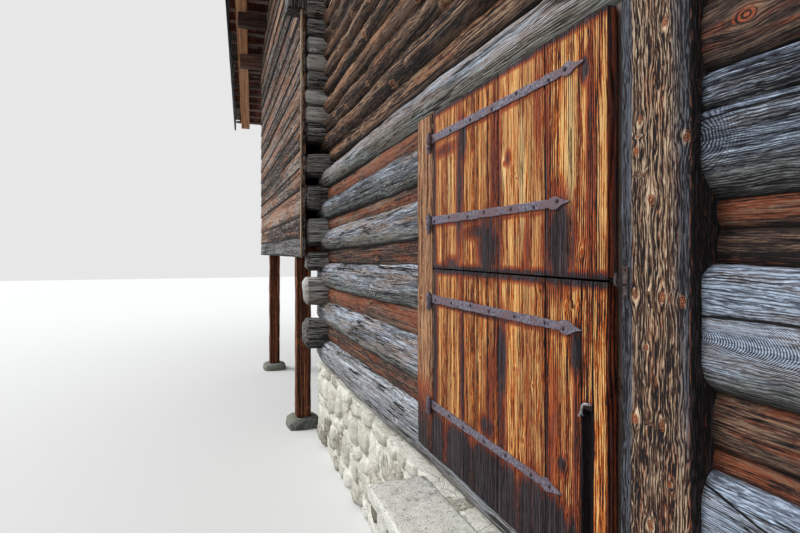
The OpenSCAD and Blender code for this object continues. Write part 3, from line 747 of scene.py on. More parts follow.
rights = [hewn_log(big, dice, to_right_corner(jamb, corner, out), facets, **looks)
          for jamb, corner, out, facets, looks in (
              ((1.405, 1.690), FRONT_LOGS[0], 0.13, (0.45, 0.03, 0.5, 0.03),
               {"tone": 0.75, "cleft": (-0.299, -0.23, 0.0035, -1.79, -1.25)}),
              ((1.912, 2.272), FRONT_LOGS[1], 0.13, (0.8, 0.03, 0.72, 0.05),
               {"tone": 0.75, "cleft": (0.060, 0.02, 0.0035, -1.80, -0.7),
                "patch": (-1.62, -0.022, 0.21, 0.046, 0.42, 1.9, 0.12)}),
              ((2.445, 2.695), FRONT_LOGS[2], 0.13, (0.85, 0.02, 0.35, 0.05),
               {"tone": 0.35, "cleft": (0.115, 0.01, 0.003, -1.80, -0.9),
                "patch": (-1.785, 0.045, 0.085, 0.075, 0.34, 0.37, 0.0)}),
              ((2.690, 2.802), (2.655, 2.765), 0.125, (0.7, 0.02, 0.5, 0.02), {"tone": 0.1}))]
right_smalls = [
    hewn_log(small, dice, to_right_corner(jamb, corner, out)[:3] + [(RIGHT_FACE + 0.05, *corner, 0.12)],
             (0.3, 0.015, 0.4, 0.015), **looks)
    for jamb, corner, out, looks in (
        ((1.255, 1.415), (1.26, 1.455), 0.08, {}), ((1.680, 1.757), (1.72, 1.80), 0.085, {"tone": 0.75}),
        ((1.745, 1.922), (1.79, 1.925), 0.09, {"tone": 0.75}),
        ((2.262, 2.372), (2.20, 2.31), 0.07, {"tone": 0.2}),
        ((2.362, 2.455), (2.30, 2.40), 0.07, {"tone": 0.8}),
        ((2.792, 3.01), (2.755, 3.01), 0.13, {"knots": [(-1.375, -0.002, 0.027)], "tone": 0.35}),
        ((3.0, 3.145), (2.995, 3.145), 0.10, {}))]
for side, bigs, smalls, look in (("left", lefts, left_smalls, grey_log),
                                 ("right", rights, right_smalls, near_log)):
    build_in(bigs, f"front_big_logs_{side}", look, "grey_wood", f"front_wall_{side}",
             waves=((0.35, 0.03), (0.05, 0.006)), angle=32)
    build_in(smalls, f"front_small_logs_{side}", brown_log, "brown_wood",
             waves=((0.3, 0.02), (0.05, 0.006)), angle=32)
long_log = timber(9.31, 0.27, 0.245, 0.05, 4, 330)
jamb = (3.132, 3.385)
lintel = hewn_log(long_log, dice, to_left_corner(jamb, (3.07, 3.29)) + to_right_corner(jamb, (3.13, 3.38)),
                  (0.15, 0.05, 0.25, 0.05))
jamb = (0.93, 1.28)
sill = hewn_log(long_log, dice, to_left_corner(jamb, (0.93, 1.24)) + to_right_corner(jamb, jamb),
                (0.3, 0.05, 0.5, 0.04))
for blank in (big, small, long_log):
    bpy.data.objects.remove(blank)
only(sill)
bpy.ops.object.mode_set(mode="EDIT")
for edge in (HINGE_POST_EDGE, LATCH_POST_EDGE):
    for x in (edge - 0.001, edge + 0.001):
        bpy.ops.mesh.select_all(action="SELECT")
        bpy.ops.mesh.bisect(plane_co=(x, 0, 0), plane_no=(1, 0, 0))
bpy.ops.object.mode_set(mode="OBJECT")


def threshold(x, y, z):
    """Cuts the sill down between the posts, to pass under the door."""
    between = (x > HINGE_POST_EDGE) & (x < LATCH_POST_EDGE)
    return x, y, np.where(between, np.minimum(z, 1.072 + 0.01 * (z - 1.1)), z)


for log, name, node, look, notch in ((lintel, "lintel_timber", "lintel_log", grey_log, None),
                                     (sill, "sill_timber", "sill_log", sill_wood, threshold)):
    build_in([log], name, look, "grey_wood", node, waves=((0.35, 0.03), (0.07, 0.012)), trim=notch,
             angle=60)

# The upper logs of the two gables: rounder trunks of one size, warm brown under the roof, with a
# dark shadow between each pair. They run out past the corners and are cut to the slope.
RIDGE, SLOPE, ROOF_GAP = 9.1188, 0.3443, 0.005
UPPER_FOOT, COURSE, UPPER_COURSES = 3.51, 0.21, 27


def under(x):
    """Height of the rafters' underside at a distance from the ridge."""
    return RIDGE - np.abs(x) * SLOPE


def drawn_in(x, y, z):
    """Draws the upper ends of a gable's logs in to the slope of the roof."""
    room = np.maximum((RIDGE - ROOF_GAP - z) / SLOPE, 0.02)
    squeeze = np.where(x > 0, np.minimum(1, room / RIGHT_END), np.minimum(1, room / -LEFT_END))
    return x * squeeze, y, np.minimum(z, RIDGE - ROOF_GAP)


# Under with Shelter paints shade on the logs' undersides, and Dark_Low and Dark_High paint the dark shadow
# along their lower and upper edges.
upper_log = wood_finish("upper_log", 0.018, (25, 19, 18), (102, 71, 56), (196, 160, 128), (188, 112, 60),
                        Under=tint(72, 52, 44), Line_Width=0.018, Lines=0.5, Streaks=1.1, Fibres=1.15,
                        Crumbs=1.0, Crack_Width=2.6, Knot_Size=0.022, Knot_Gap=0.7, Warmth=0.5,
                        Shelter=0.75, Dark_Low=0.8, Dark_High=0.3, Spread=0.5)
for line, name, node in ((-WALL_LINE, "front_gable_logs", "front_gable_wall"),
                         (WALL_LINE, "back_logs", "back_wall")):
    near = line < 0
    round_log = timber(9.31, 0.28, 0.21, 0.075, 0, 110 if near else 50)
    logs = [log_at(round_log, dice, LEFT_END, RIGHT_END, line, z - 0.006, z + 0.216, 0.045)
            for z in (UPPER_FOOT + COURSE * k for k in range(UPPER_COURSES))]
    logs.append(log_at(round_log, dice, CROSS_FACE, RIGHT_FACE, line, 3.37, 3.54, -0.02))
    if not near:
        for z0, z1 in FRONT_LOGS + [(0.935, 1.27), (3.135, 3.38)]:
            logs.append(log_at(round_log, dice, LEFT_END, RIGHT_END, line, z0 - 0.01, z1 + 0.01, 0.03))
        for z0, z1 in SMALL_LOGS:
            logs.append(log_at(round_log, dice, CROSS_FACE, RIGHT_FACE, line, z0 - 0.015, z1 + 0.015, -0.01))
    bpy.data.objects.remove(round_log)
    build_in(logs, name, upper_log, "brown_wood", node, waves=((0.45, 0.05), (0.1, 0.014)), trim=drawn_in)

# The log walls across the building. Their ends stand out of the gable walls through notched
# corners and have weathered pale; above the door's height one longer beam makes a corbel.
# Under with Shelter paints shade on the undersides of the log ends, and Dark_Low paints shade along their
# lower edges.
stub_log = wood_finish("stub_log", 0.014, (40, 38, 38), (166, 164, 160), (230, 232, 230), (170, 120, 84),
                       Under=tint(110, 98, 88), Line_Width=0.012, Lines=0.5, Streaks=0.5, Fibres=0.75,
                       Crumbs=0.5, Crack_Width=1.6, Knot_Size=0.024, Knot_Gap=0.9, Warmth=0.3, Shelter=0.6,
                       Dark_Low=0.5, Spread=0.7)
SIDE_LOGS = [(1.158, 1.490), (1.670, 1.991), (2.086, 2.300), (2.371, 2.704), (2.811, 3.085), (3.216, 3.477)]
SIDE_LOGS += [(3.615 + COURSE * k, 3.825 + COURSE * k) for k in range(24)]
SIDE_FILL = [(0.935, 1.158), (1.490, 1.670), (1.991, 2.086), (2.300, 2.371), (2.704, 2.811), (3.085, 3.216),
             (3.477, 3.615)]
BAY_END_LOGS = [(2.455 + COURSE * k, 2.665 + COURSE * k) for k in range(19)]
QUARTER = Matrix.Rotation(math.radians(90), 4, "Z")
PLATE, WALL_X = 6.407, 7.17


def log_across(blank, dice, reach, x, z0, z1, swell):
    """A log along Y, through a wall across the building."""
    log = log_at(blank, dice, -reach, reach, 0, z0, z1, swell)
    log.data.transform(Matrix.Translation((x, 0, 0)) @ QUARTER)
    return log


def beam(x0, x1, y0, y1, z0, z1, dice, rounding, across, cuts, pith=(0, 0), **looks):
    """A sawn or hewn timber that fills a box, with its grain along the box's longest side."""
    size = (x1 - x0, y1 - y0, z1 - z0)
    long = size.index(max(size))
    thick, high = ((size[1], size[2]), (size[0], size[2]), (size[1], size[0]))[long]
    made = timber(size[long], thick, high, rounding, across, cuts, blunt=0.01)
    grained(made, dice, pith, **looks)
    turn = (Matrix(), QUARTER, Matrix.Rotation(math.radians(-90), 4, "Y"))[long]
    made.data.transform(Matrix.Translation(((x0 + x1) / 2, (y0 + y1) / 2, (z0 + z1) / 2)) @ turn)
    return made


for x, top, name, node in ((-1.30, 8.70, "cross_wall_logs", "left_log_wall"),
                           (WALL_X, PLATE, "right_wall_logs", "right_log_wall"),
                           (-WALL_X, PLATE, "bay_end_logs", "bay_end_wall")):
    side_log = timber(10.5, 0.27, 0.21, 0.055, 0, 70)
    rows, filling = (BAY_END_LOGS, ()) if x == -WALL_X else (SIDE_LOGS, SIDE_FILL)
    logs = [log_across(side_log, dice, 5.25 - dice.uniform(0, 0.03), x, z0 - 0.006, z1 + 0.004, 0.03)
            for z0, z1 in rows if z0 < top - 0.05]
    logs += [log_across(side_log, dice, 4.8, x, z0 - 0.01, z1 + 0.01, -0.01) for z0, z1 in filling]
    if node == "left_log_wall":
        logs.append(beam(-1.442, -1.158, -5.457, -5.2, 5.173, 5.502, dice, 0.03, 3, 20))
    bpy.data.objects.remove(side_log)
    build_in(logs, name, stub_log, "grey_wood", node, waves=((0.4, 0.05), (0.1, 0.014)),
             trim=lambda x, y, z: (x, y, np.minimum(np.minimum(z, under(x) - ROOF_GAP), top)))

# The floor of the room: wide planks nailed on rounded joists over the plinth, seen through the open
# door. Both are of larch that no weather has reached, still brown.
inner_wood = wood_finish("inner_wood", 0.006, (50, 36, 28), (128, 96, 68), (176, 142, 104), (160, 110, 66),
                         Fibres=0.4, Cracks=0.4)
SEAM, JOIST_HALF = 0.003, 0.08
lo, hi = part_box("ground_floor")
edges = np.linspace(lo[0], hi[0], 29)
planks = [beam(a + SEAM, b - SEAM, lo[1], hi[1], lo[2], hi[2], dice, 0.006, 0, 6, (0.02, 0.1))
          for a, b in zip(edges, edges[1:])]
build_in(planks, "floor_planks", inner_wood, "brown_wood", "ground_floor", angle=None)
lo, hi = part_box("floor_joists")
joists = [beam(x - JOIST_HALF, x + JOIST_HALF, lo[1], hi[1], lo[2], hi[2], dice, 0.03, 0, 20)
          for x in np.linspace(lo[0] + JOIST_HALF, hi[0] - JOIST_HALF, 9)]
build_in(joists, "floor_joist_logs", inner_wood, "brown_wood", "floor_joists", waves=((0.3, 0.02),),
         angle=None)

# The door posts: two hewn larch posts between sill and lintel. Rain has worn the soft wood away, so
# the grain stands out in ribs and flows round the knots. The stop is nailed behind the leaf's edge.
post_wood = wood_finish("post_wood", 0.012, (36, 32, 36), (134, 94, 72), (255, 224, 188), (214, 112, 58),
                        Under=tint(90, 60, 40), Bleached=tint(118, 122, 134), Waviness=0.03,
                        Line_Width=0.0125, Lines=1.25, Line_Sharpness=1.1, Streaks=0.75, Fibres=1.1,
                        Crumbs=0.9, Fineness=2.0, Cracks=0.0, Knot_Size=0.008, Knot_Gap=50.0, Halo=0.5,
                        Curl=0.055, Warmth=0.65, Spread=0.2)
jamb_wood = wood_finish("jamb_wood", 0.012, (30, 20, 18), (156, 92, 56), (252, 208, 158), (196, 84, 34),
                        Waviness=0.018, Line_Width=0.015, Lines=1.4, Line_Sharpness=1.3, Streaks=1.3,
                        Fibres=1.2, Crumbs=1.1, Fineness=1.3, Cracks=0.0, Knot_Size=0.011, Knot_Gap=0.35,
                        Halo=0.3, Curl=0.02, Warmth=0.6, Dark_Low=0.5, Dark_High=0.5, Spread=0.5)
stop_wood = wood_finish("stop_wood", 0.006, (44, 36, 34), (98, 84, 78), (150, 134, 122), (128, 88, 62),
                        Line_Width=0.008, Lines=0.5, Streaks=0.4, Fibres=0.4, Cracks=0.4, Knot_Gap=0.9,
                        Warmth=0.2, Spread=0.2)
POST_FACE, POST_BACK, POST_FOOT, POST_HEAD = -5.02, -4.70, 1.074, 3.143
# Knots on the face of the latch post: place along the front, height, size
POST_KNOTS = [(3.930, 2.967, 0.013), (3.834, 2.705, 0.012), (3.822, 2.612, 0.014), (3.878, 2.456, 0.017),
              (3.814, 2.166, 0.014), (3.919, 2.169, 0.013), (3.990, 2.161, 0.012), (3.858, 2.012, 0.010),
              (3.814, 1.781, 0.015), (3.919, 1.795, 0.013), (3.948, 1.632, 0.010), (3.878, 1.483, 0.013),
              (4.004, 2.620, 0.012)]
POST_LEFT, POST_RIGHT = 3.7455, 4.018
middle = ((POST_LEFT + POST_RIGHT) / 2, (POST_FOOT + POST_HEAD) / 2)
latch = beam(POST_LEFT, POST_RIGHT, POST_FACE, POST_BACK, POST_FOOT, POST_HEAD, dice, 0.016, 10, 130,
             (0.0, 0.3), knots=[(z - middle[1], middle[0] - x, size) for x, z, size in POST_KNOTS])
x, y, z = places_of(latch).T
pale_right = np.clip((x - 3.905) / 0.13, 0, 0.75) * np.clip(z - 1.2, 0.3, 1)
pale_left = np.clip((3.825 - x) / 0.06, 0, 0.8)
tell(latch, "bleach", (pale_right + pale_left) * (y < POST_FACE + 0.02))
# Painted shade: the post's side faces, beside the stop and beside the logs, are blackened.
side_face_shade = np.where(x > POST_RIGHT - 0.0025, 1.1, np.where(x < POST_LEFT + 0.001, 1.2, 0))
tell(latch, "soot_and_shade", side_face_shade * (y > POST_FACE + 0.004))
STOP_LEFT, STOP_FACE, STOP_FOOT = 3.6365, -4.967, 1.072
stop = beam(STOP_LEFT, POST_LEFT - 0.0005, STOP_FACE, POST_BACK, STOP_FOOT, POST_HEAD, dice, 0.008, 2, 70,
            (0.06, 0.2))
HINGE_POST_RIGHT = 2.1855
hinge = beam(HINGE_POST_EDGE, HINGE_POST_RIGHT, POST_FACE, POST_BACK, POST_FOOT, POST_HEAD, dice, 0.022,
             4, 90, (0.06, 0.2), tone=1.0)
tell(hinge, "soot_and_shade", 1.3 * np.clip((1.62 - places_of(hinge)[:, 2]) / 0.6, 0, 1))
for post, name, material, nodes in ((latch, "latch_post_timber", post_wood, ["latch_post"]),
                                    (stop, "latch_post_stop", stop_wood, []),
                                    (hinge, "hinge_post_timber", jamb_wood, ["hinge_post"])):
    build_in([post], name, material, "brown_wood", *nodes, waves=((0.35, 0.010), (0.04, 0.003)), angle=40)

# The split door: leaves of four wide larch planks, with a narrow strip and a slot in the lower one,
# burnt orange by the sun and nailed to ledges behind. Water has run black down the joints; shade is
# painted black on the planks' side faces in the gaps, on the strip in the slot and in bands under the straps.
door_wood = wood_finish("door_wood", 0.007, (34, 16, 10), (210, 102, 28), (250, 202, 126), (174, 58, 14),
                        Under=tint(90, 50, 30), Dirt=tint(20, 18, 23), Bleached=tint(255, 206, 140),
                        Waviness=0.008, Line_Width=0.0115, Lines=1.05, Line_Sharpness=1.6, Streaks=1.25,
                        Fibres=1.1, Crumbs=0.6, Fineness=1.6, Cracks=0.0, Knot_Size=0.009, Knot_Gap=0.45,
                        Halo=0.3, Curl=0.008, Warmth=0.7, Spread=0.45)
LEAF_LEFT, LEAF_RIGHT = 2.1935, 3.690
SLOT_LEFT, SLOT_RIGHT, SLOT_TOP = 3.556, 3.618, 1.745
PLANKS = {"upper": (LEAF_LEFT, 2.600, 2.966, 3.336, LEAF_RIGHT),
          "lower": (LEAF_LEFT, 2.600, 2.966, 3.336, SLOT_LEFT, SLOT_RIGHT, LEAF_RIGHT)}
PLANK_TONES = {"upper": (0.95, 0.5, 1.0, 0.55),
               "lower": (0.6, 0.2, 0.65, 0.25, 0.2, 0.1)}
# Where water has stained the planks dark, and where they are bleached to cream: place, reach
# sideways and upwards, strength. The four stain rows that reach 0.8 sideways, just under the straps, are
# painted shadows of the straps.
STAINS_AND_STRAP_SHADOWS = [(2.200, 2.66, 0.032, 0.70, 1.5), (2.560, 2.62, 0.036, 0.42, 1.2), (2.590, 2.90, 0.040, 0.12, 1.3),
          (2.935, 2.68, 0.034, 0.40, 0.8), (2.870, 2.33, 0.100, 0.15, 1.3), (2.780, 2.40, 0.160, 0.04, 1.0),
          (2.440, 2.23, 0.120, 0.05, 0.8), (3.425, 2.34, 0.085, 0.17, 1.5), (3.603, 2.62, 0.018, 0.42, 0.9),
          (3.210, 2.32, 0.035, 0.15, 0.6), (2.360, 2.88, 0.150, 0.04, 0.8), (3.285, 2.88, 0.030, 0.22, 0.6),
          (3.580, 2.95, 0.020, 0.05, 1.4), (3.400, 2.55, 0.020, 0.05, 1.2), (3.060, 2.72, 0.020, 0.04, 1.0),
          (3.360, 2.70, 0.020, 0.35, 0.5), (3.230, 2.65, 0.010, 0.40, 0.6), (2.330, 2.55, 0.020, 0.35, 0.4),
          (2.212, 1.65, 0.040, 0.80, 1.5), (2.585, 1.70, 0.022, 0.45, 1.2), (2.995, 1.80, 0.036, 0.22, 1.5),
          (3.000, 1.50, 0.030, 0.30, 0.9), (2.890, 1.62, 0.060, 0.40, 0.42), (3.200, 1.60, 0.012, 0.45, 0.8),
          (3.535, 1.94, 0.030, 0.09, 1.7), (3.530, 1.60, 0.022, 0.35, 0.8), (3.400, 1.62, 0.050, 0.40, 0.42),
          (2.860, 1.46, 0.080, 0.06, 0.9), (3.440, 1.50, 0.030, 0.04, 1.1), (2.660, 2.02, 0.180, 0.03, 0.7),
          (3.360, 1.45, 0.030, 0.30, 0.6), (3.250, 1.25, 0.060, 0.16, 1.2), (2.800, 2.948, 0.8, 0.013, 0.6),
          (2.750, 2.460, 0.8, 0.014, 0.75), (2.750, 1.992, 0.8, 0.014, 0.8), (2.750, 1.358, 0.8, 0.014, 0.6),
          (2.975, 2.50, 0.012, 0.60, 0.7), (3.345, 2.50, 0.012, 0.60, 0.7), (2.975, 1.60, 0.012, 0.60, 0.7),
          (3.345, 1.60, 0.012, 0.60, 0.7)]
CREAM = [(2.430, 2.70, 0.040, 0.35, 0.55), (2.667, 2.65, 0.026, 0.30, 0.5), (2.854, 2.78, 0.009, 0.25, 0.8),
         (3.107, 2.68, 0.016, 0.45, 0.9), (3.171, 2.62, 0.011, 0.35, 0.85), (3.497, 2.62, 0.009, 0.50, 0.95),
         (3.640, 2.60, 0.010, 0.60, 0.6), (3.120, 2.33, 0.014, 0.09, 0.6), (3.545, 2.31, 0.008, 0.10, 0.8),
         (3.010, 2.66, 0.012, 0.12, 0.8), (2.284, 1.90, 0.012, 0.22, 0.7), (2.516, 1.78, 0.018, 0.24, 0.7),
         (2.662, 1.80, 0.016, 0.26, 0.5), (2.764, 1.78, 0.010, 0.26, 0.8), (3.105, 1.70, 0.018, 0.42, 0.85),
         (3.173, 1.66, 0.011, 0.38, 0.8), (3.299, 1.70, 0.014, 0.35, 0.55), (3.502, 1.68, 0.009, 0.40, 0.8),
         (3.473, 1.20, 0.012, 0.26, 1.2), (3.122, 1.26, 0.013, 0.15, 1.1), (2.375, 1.28, 0.020, 0.10, 0.6),
         (3.640, 1.60, 0.010, 0.50, 0.3)]
UPPER_CREAM, LOWER_CREAM = 1.2, 0.7
DOOR_KNOTS = [(2.46, 2.82, 0.009), (3.02, 2.70, 0.016), (3.13, 2.62, 0.007), (3.42, 2.56, 0.010),
              (3.59, 2.93, 0.012), (2.40, 2.66, 0.009), (3.48, 2.31, 0.010), (3.56, 2.30, 0.012),
              (2.74, 2.10, 0.009), (3.30, 2.16, 0.010), (3.47, 2.10, 0.010), (3.54, 2.10, 0.011),
              (2.43, 1.79, 0.010), (2.79, 1.78, 0.009), (3.11, 1.79, 0.010), (3.25, 1.75, 0.009),
              (2.49, 1.63, 0.012), (2.70, 1.58, 0.011), (2.86, 1.47, 0.010), (3.18, 1.50, 0.011),
              (3.53, 1.86, 0.012), (3.46, 1.51, 0.012), (3.00, 1.31, 0.013), (3.47, 1.34, 0.007)]


def plank(left, right, low, high, front, back, tone):
    """One upright plank of the door, with its knots and its stains, painted shadows of the straps and painted
    shade on its side faces in the gaps.
    """
    middle = ((left + right) / 2, (low + high) / 2)
    own = [(z - middle[1], middle[0] - x, size) for x, z, size in DOOR_KNOTS
           if left < x < right and low < z < high]
    made = beam(left + 0.0015, right - 0.0015, front, back, low, high, random.Random(round(left * 1000)),
                0.006, 8, 60, (0.0, 0.3), tone=tone, knots=own)
    x, y, z = places_of(made).T

    def marks(spots):
        return np.max([force * np.exp(-((x - at) / wide) ** 2 - ((z - level) / tall) ** 2)
                       for at, level, wide, tall, force in spots], axis=0)

    splashed = 1.6 * np.clip((1.40 - z) / 0.13, 0, 1) * np.clip((3.56 - x) / 0.06, 0.25, 1)
    for dry, wide in ((2.375, 0.045), (2.70, 0.03), (3.122, 0.026), (3.473, 0.022)):
        splashed = splashed * (1 - 0.65 * np.exp(-((x - dry) / wide) ** 2))
    soot_and_shade = np.maximum(marks(STAINS_AND_STRAP_SHADOWS), splashed)
    for level in (high, low):
        soot_and_shade = np.maximum(soot_and_shade, 1.1 * np.exp(-((z - level) / 0.026) ** 2))
    # Painted shade: the planks' side faces in the gaps between them are blackened, less so at the leaf's
    # right edge.
    joint = (np.minimum(x - left, right - x) < 0.005) & (y > front + 0.002)
    tell(made, "soot_and_shade", np.where(joint, np.where(x > LEAF_RIGHT - 0.005, 0.5, 1.8), soot_and_shade))
    tell(made, "bleach", marks(CREAM) * (LOWER_CREAM if low < 1.9 else UPPER_CREAM))
    return made


LEDGE = 0.14
for leaf in ("lower", "upper"):
    lo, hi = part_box(f"{leaf}_door_leaf")
    edges, parts = PLANKS[leaf], []
    for left, right, tone in zip(edges, edges[1:], PLANK_TONES[leaf]):
        low = SLOT_TOP if left == SLOT_LEFT else lo[2]
        parts.append(plank(left, right, low, hi[2], lo[1], hi[1], tone))
    if leaf == "lower":
        strip = plank(SLOT_LEFT, SLOT_RIGHT, lo[2], SLOT_TOP, hi[1] - 0.012, hi[1], 0.1)
        # The strip set back in the slot is blackened all over as painted shade.
        strip.data.attributes["soot_and_shade"].data.foreach_set("value", np.full(len(strip.data.vertices), 2.0))
        parts.append(strip)
    build_in(parts, f"{leaf}_door_planks", door_wood, "door_wood", f"{leaf}_door_leaf",
             waves=((0.25, 0.004),), angle=40, body=f"{leaf}_door")
    lo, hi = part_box(f"{leaf}_door_ledges")
    ledges = [beam(lo[0], hi[0], lo[1], hi[1], z, z + LEDGE, dice, 0.006, 0, 20, (0.08, 0.02))
              for z in (lo[2], hi[2] - LEDGE)]
    build_in(ledges, f"{leaf}_door_back_ledges", inner_wood, "door_wood", f"{leaf}_door_ledges", angle=40,
             body=f"{leaf}_door")

# The door's ironwork: long forged straps with spade tips, turned round pintles on the hinge post and
# held by hand-made nails; a pull handle on the lower leaf and a hook on the post for the upper.


def forged_iron(name, skin, worn, rusty):
    """Hand-forged iron with a dark skin worn lighter on its high spots, and rust in its pits."""
    made, tree, shader = finish(name)
    place = put(tree, "TexCoord").outputs["Object"]
    broad = put(tree, "TexNoise", i0=place, Scale=9.0, Detail=5.0, Roughness=0.6).outputs[0]
    fine = put(tree, "TexNoise", i0=place, Scale=70.0, Detail=6.0, Roughness=0.7).outputs[0]
    pits = put(tree, "TexVoronoi", i0=place, Scale=150.0).outputs["Distance"]
    colour = mingle(tree, fade(tree, fine, 0.32, 0.68), skin, worn)
    rust = calc(tree, "MULTIPLY", fade(tree, broad, 0.46, 0.6), fade(tree, fine, 0.35, 0.6, 0.3, 1.0))
    colour = mingle(tree, rust, colour, rusty)
    colour = mingle(tree, fade(tree, pits, 0.05, 0.25, 0.4, 0.0), colour, tint(56, 42, 44))
    nailed = put(tree, "Attribute", {"attribute_name": "tone"}).outputs["Fac"]
    colour = mingle(tree, calc(tree, "MULTIPLY", nailed, 0.8), colour, tint(44, 34, 38))
    tree.links.new(colour, shader.inputs["Base Color"])
    tree.links.new(fade(tree, fine, 0.3, 0.7, 0.75, 0.5), shader.inputs["Roughness"])
    tree.links.new(fade(tree, rust, 0.0, 0.8, 0.35, 0.05), shader.inputs["Metallic"])
    height = calc(tree, "ADD", calc(tree, "MULTIPLY", fine, 0.8), calc(tree, "MULTIPLY", pits, 0.5))
    bump = put(tree, "Bump", Height=calc(tree, "ADD", height, broad), Strength=1.0, Distance=0.0025)
    tree.links.new(bump.outputs["Normal"], shader.inputs["Normal"])
    return made


iron = forged_iron("forged_iron", tint(58, 53, 64), tint(136, 128, 142), tint(104, 78, 84))
hook_iron = forged_iron("dark_iron", tint(40, 36, 38), tint(96, 88, 90), tint(92, 60, 48))
pull_iron = forged_iron("worn_iron", tint(96, 96, 102), tint(206, 208, 214), tint(128, 112, 104))
PIN_X, PIN_Y, LEAF_FACE = 2.1715, -5.039, -5.02
NAIL_OUT, STRAP_HALF = 0.0085, 0.031


def nail_head(size):
    """The faceted head of a hand-made nail."""
    only()
    bpy.ops.mesh.primitive_ico_sphere_add(subdivisions=2, radius=size)
    made = bpy.context.object
    made.data.transform(Matrix.Diagonal((1, 0.55, 1, 1)))
    tell(made, "tone", 1.0)
    return made


def nail_at(x, y, z, scale=1.0):
    """A nail with its head at a place."""
    nail = copy_of(NAIL, "nail")
    nail.data.transform(Matrix.Translation((x, y, z)) @ Matrix.Diagonal((scale, scale, scale, 1)))
    return nail


def upright_rod(low, high, radius, sides, **looks):
    """A round upright on the line of the pins."""
    only()
    bpy.ops.mesh.primitive_cylinder_add(vertices=sides, radius=radius, depth=high - low,
                                        location=(PIN_X, PIN_Y, (low + high) / 2), **looks)
    bpy.ops.object.transform_apply()
    return bpy.context.object


def strap(z, length, dice):
    """One strap: a forged bar that narrows to a spade tip, its eye round the pin, and its nails."""
    only()
    bpy.ops.mesh.primitive_grid_add(x_subdivisions=110, y_subdivisions=5, size=1)
    bar = bpy.context.object
    neck = length - 0.13
    tip = (-0.03, 0, 0.006, 0.014, 0.024, 0.036, 0.048, 0.060, 0.072, 0.085, 0.100, 0.117, 0.13)
    stops = [0] + [neck + step for step in tip]
    halves = (0.0240, 0.0175, 0.0135, 0.0180, 0.0222, 0.0252, 0.0266, 0.0256, 0.0222, 0.0172, 0.0122,
              0.0082, 0.0042, 0.0012)

    def forge(x, y, _):
        t = x + 0.5
        x = np.where(t < 0.75, t / 0.75 * neck, neck + (t - 0.75) / 0.25 * (length - neck))
        half = np.interp(x, stops, halves) + 0.0012 * np.sin(x * 31 + z * 9) + 0.0009 * np.sin(x * 87)
        return x + PIN_X + 0.004, np.full(len(x), LEAF_FACE - 0.0035), z + y * 2 * half

    shift(bar, forge)
    changed(bar, "SOLIDIFY", thickness=0.007, offset=0)
    changed(bar, "BEVEL", width=0.0018, segments=2, limit_method="ANGLE")
    eye_ring = upright_rod(z - 0.027, z + 0.027, 0.0165, 28, end_fill_type="NOTHING")
    changed(eye_ring, "SOLIDIFY", thickness=0.0078)
    changed(eye_ring, "BEVEL", width=0.002, segments=2, limit_method="ANGLE")
    nails = [nail_at(PIN_X + x + dice.uniform(-0.02, 0.02), LEAF_FACE - NAIL_OUT,
                     z + dice.uniform(-0.008, 0.008))
             for x in np.linspace(0.06, neck - 0.08, 6).tolist() + [neck + 0.045]]
    return [bar, eye_ring] + nails


def forged(low, high):
    """A small forged bar or plate between two corners, with hammered, eased edges."""
    return worked(block(low, high), (0.006, 3), edge=0.002)


def bent_rod(points, radius):
    """A round rod bent through points, with rounded ends."""
    only()
    bpy.ops.curve.primitive_nurbs_path_add()
    rod = bpy.context.object
    line = rod.data.splines[0]
    line.points.add(len(points) - len(line.points))
    for point, place in zip(line.points, points):
        point.co = (*place, 1)
    line.order_u, line.resolution_u, line.use_endpoint_u = 3, 10, True
    rod.data.bevel_depth, rod.data.bevel_resolution, rod.data.use_fill_caps = radius, 4, True
    bpy.ops.object.convert(target="MESH")
    bpy.ops.object.mode_set(mode="EDIT")
    bpy.ops.mesh.select_all(action="SELECT")
    bpy.ops.mesh.remove_doubles(threshold=0.0001)
    bpy.ops.mesh.normals_make_consistent(inside=False)
    bpy.ops.object.mode_set(mode="OBJECT")
    return bpy.context.object


def turned_pin(low, high, radius):
    """An upright round pin with eased ends."""
    made = upright_rod(low, high, radius, 24)
    changed(made, "BEVEL", width=radius * 0.3, segments=3, limit_method="ANGLE")
    return made


NAIL = nail_head(0.0092)
for leaf, lengths in (("lower", (1.27, 1.39)), ("upper", (1.32, 1.40))):
    lo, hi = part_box(f"{leaf}_door_straps")
    parts = strap(lo[2] + STRAP_HALF, lengths[0], dice) + strap(hi[2] - STRAP_HALF, lengths[1], dice)
    build_in(parts, f"{leaf}_door_strap_irons", iron, "iron", f"{leaf}_door_straps",
             waves=((0.05, 0.003),), angle=40, body=f"{leaf}_door")
STRAP_HEIGHTS = (2.977, 2.488, 2.021, 1.387)
pintles = []
for z in STRAP_HEIGHTS:
    foot = z - 0.056
    pintles += [turned_pin(foot, foot + 0.026, 0.016), turned_pin(foot + 0.001, foot + 0.098, 0.008),
                forged((PIN_X - 0.034, PIN_Y - 0.006, foot), (PIN_X - 0.004, LEAF_FACE, foot + 0.026)),
                forged((PIN_X - 0.060, LEAF_FACE - 0.008, foot - 0.02),
                       (PIN_X - 0.022, LEAF_FACE, z + 0.033))]
    pintles += [nail_at(PIN_X - 0.047, LEAF_FACE - NAIL_OUT, level, 0.7)
                for level in (foot - 0.008, z + 0.02)]
build_in(pintles, "hinge_pintle_irons", iron, "iron", "hinge_pintles", waves=((0.03, 0.0015),), angle=40)
hook_x, split = 3.7755, 2.202
HOOK_BEND = [(-0.004, -0.005), (-0.018, -0.006), (-0.040, -0.008), (-0.043, 0.008), (-0.038, 0.032)]
hook = [forged((hook_x - 0.011, LEAF_FACE - 0.005, split - 0.052),
               (hook_x + 0.011, LEAF_FACE, split + 0.052)),
        bent_rod([(hook_x, LEAF_FACE + y, split + z) for y, z in HOOK_BEND], 0.005)]
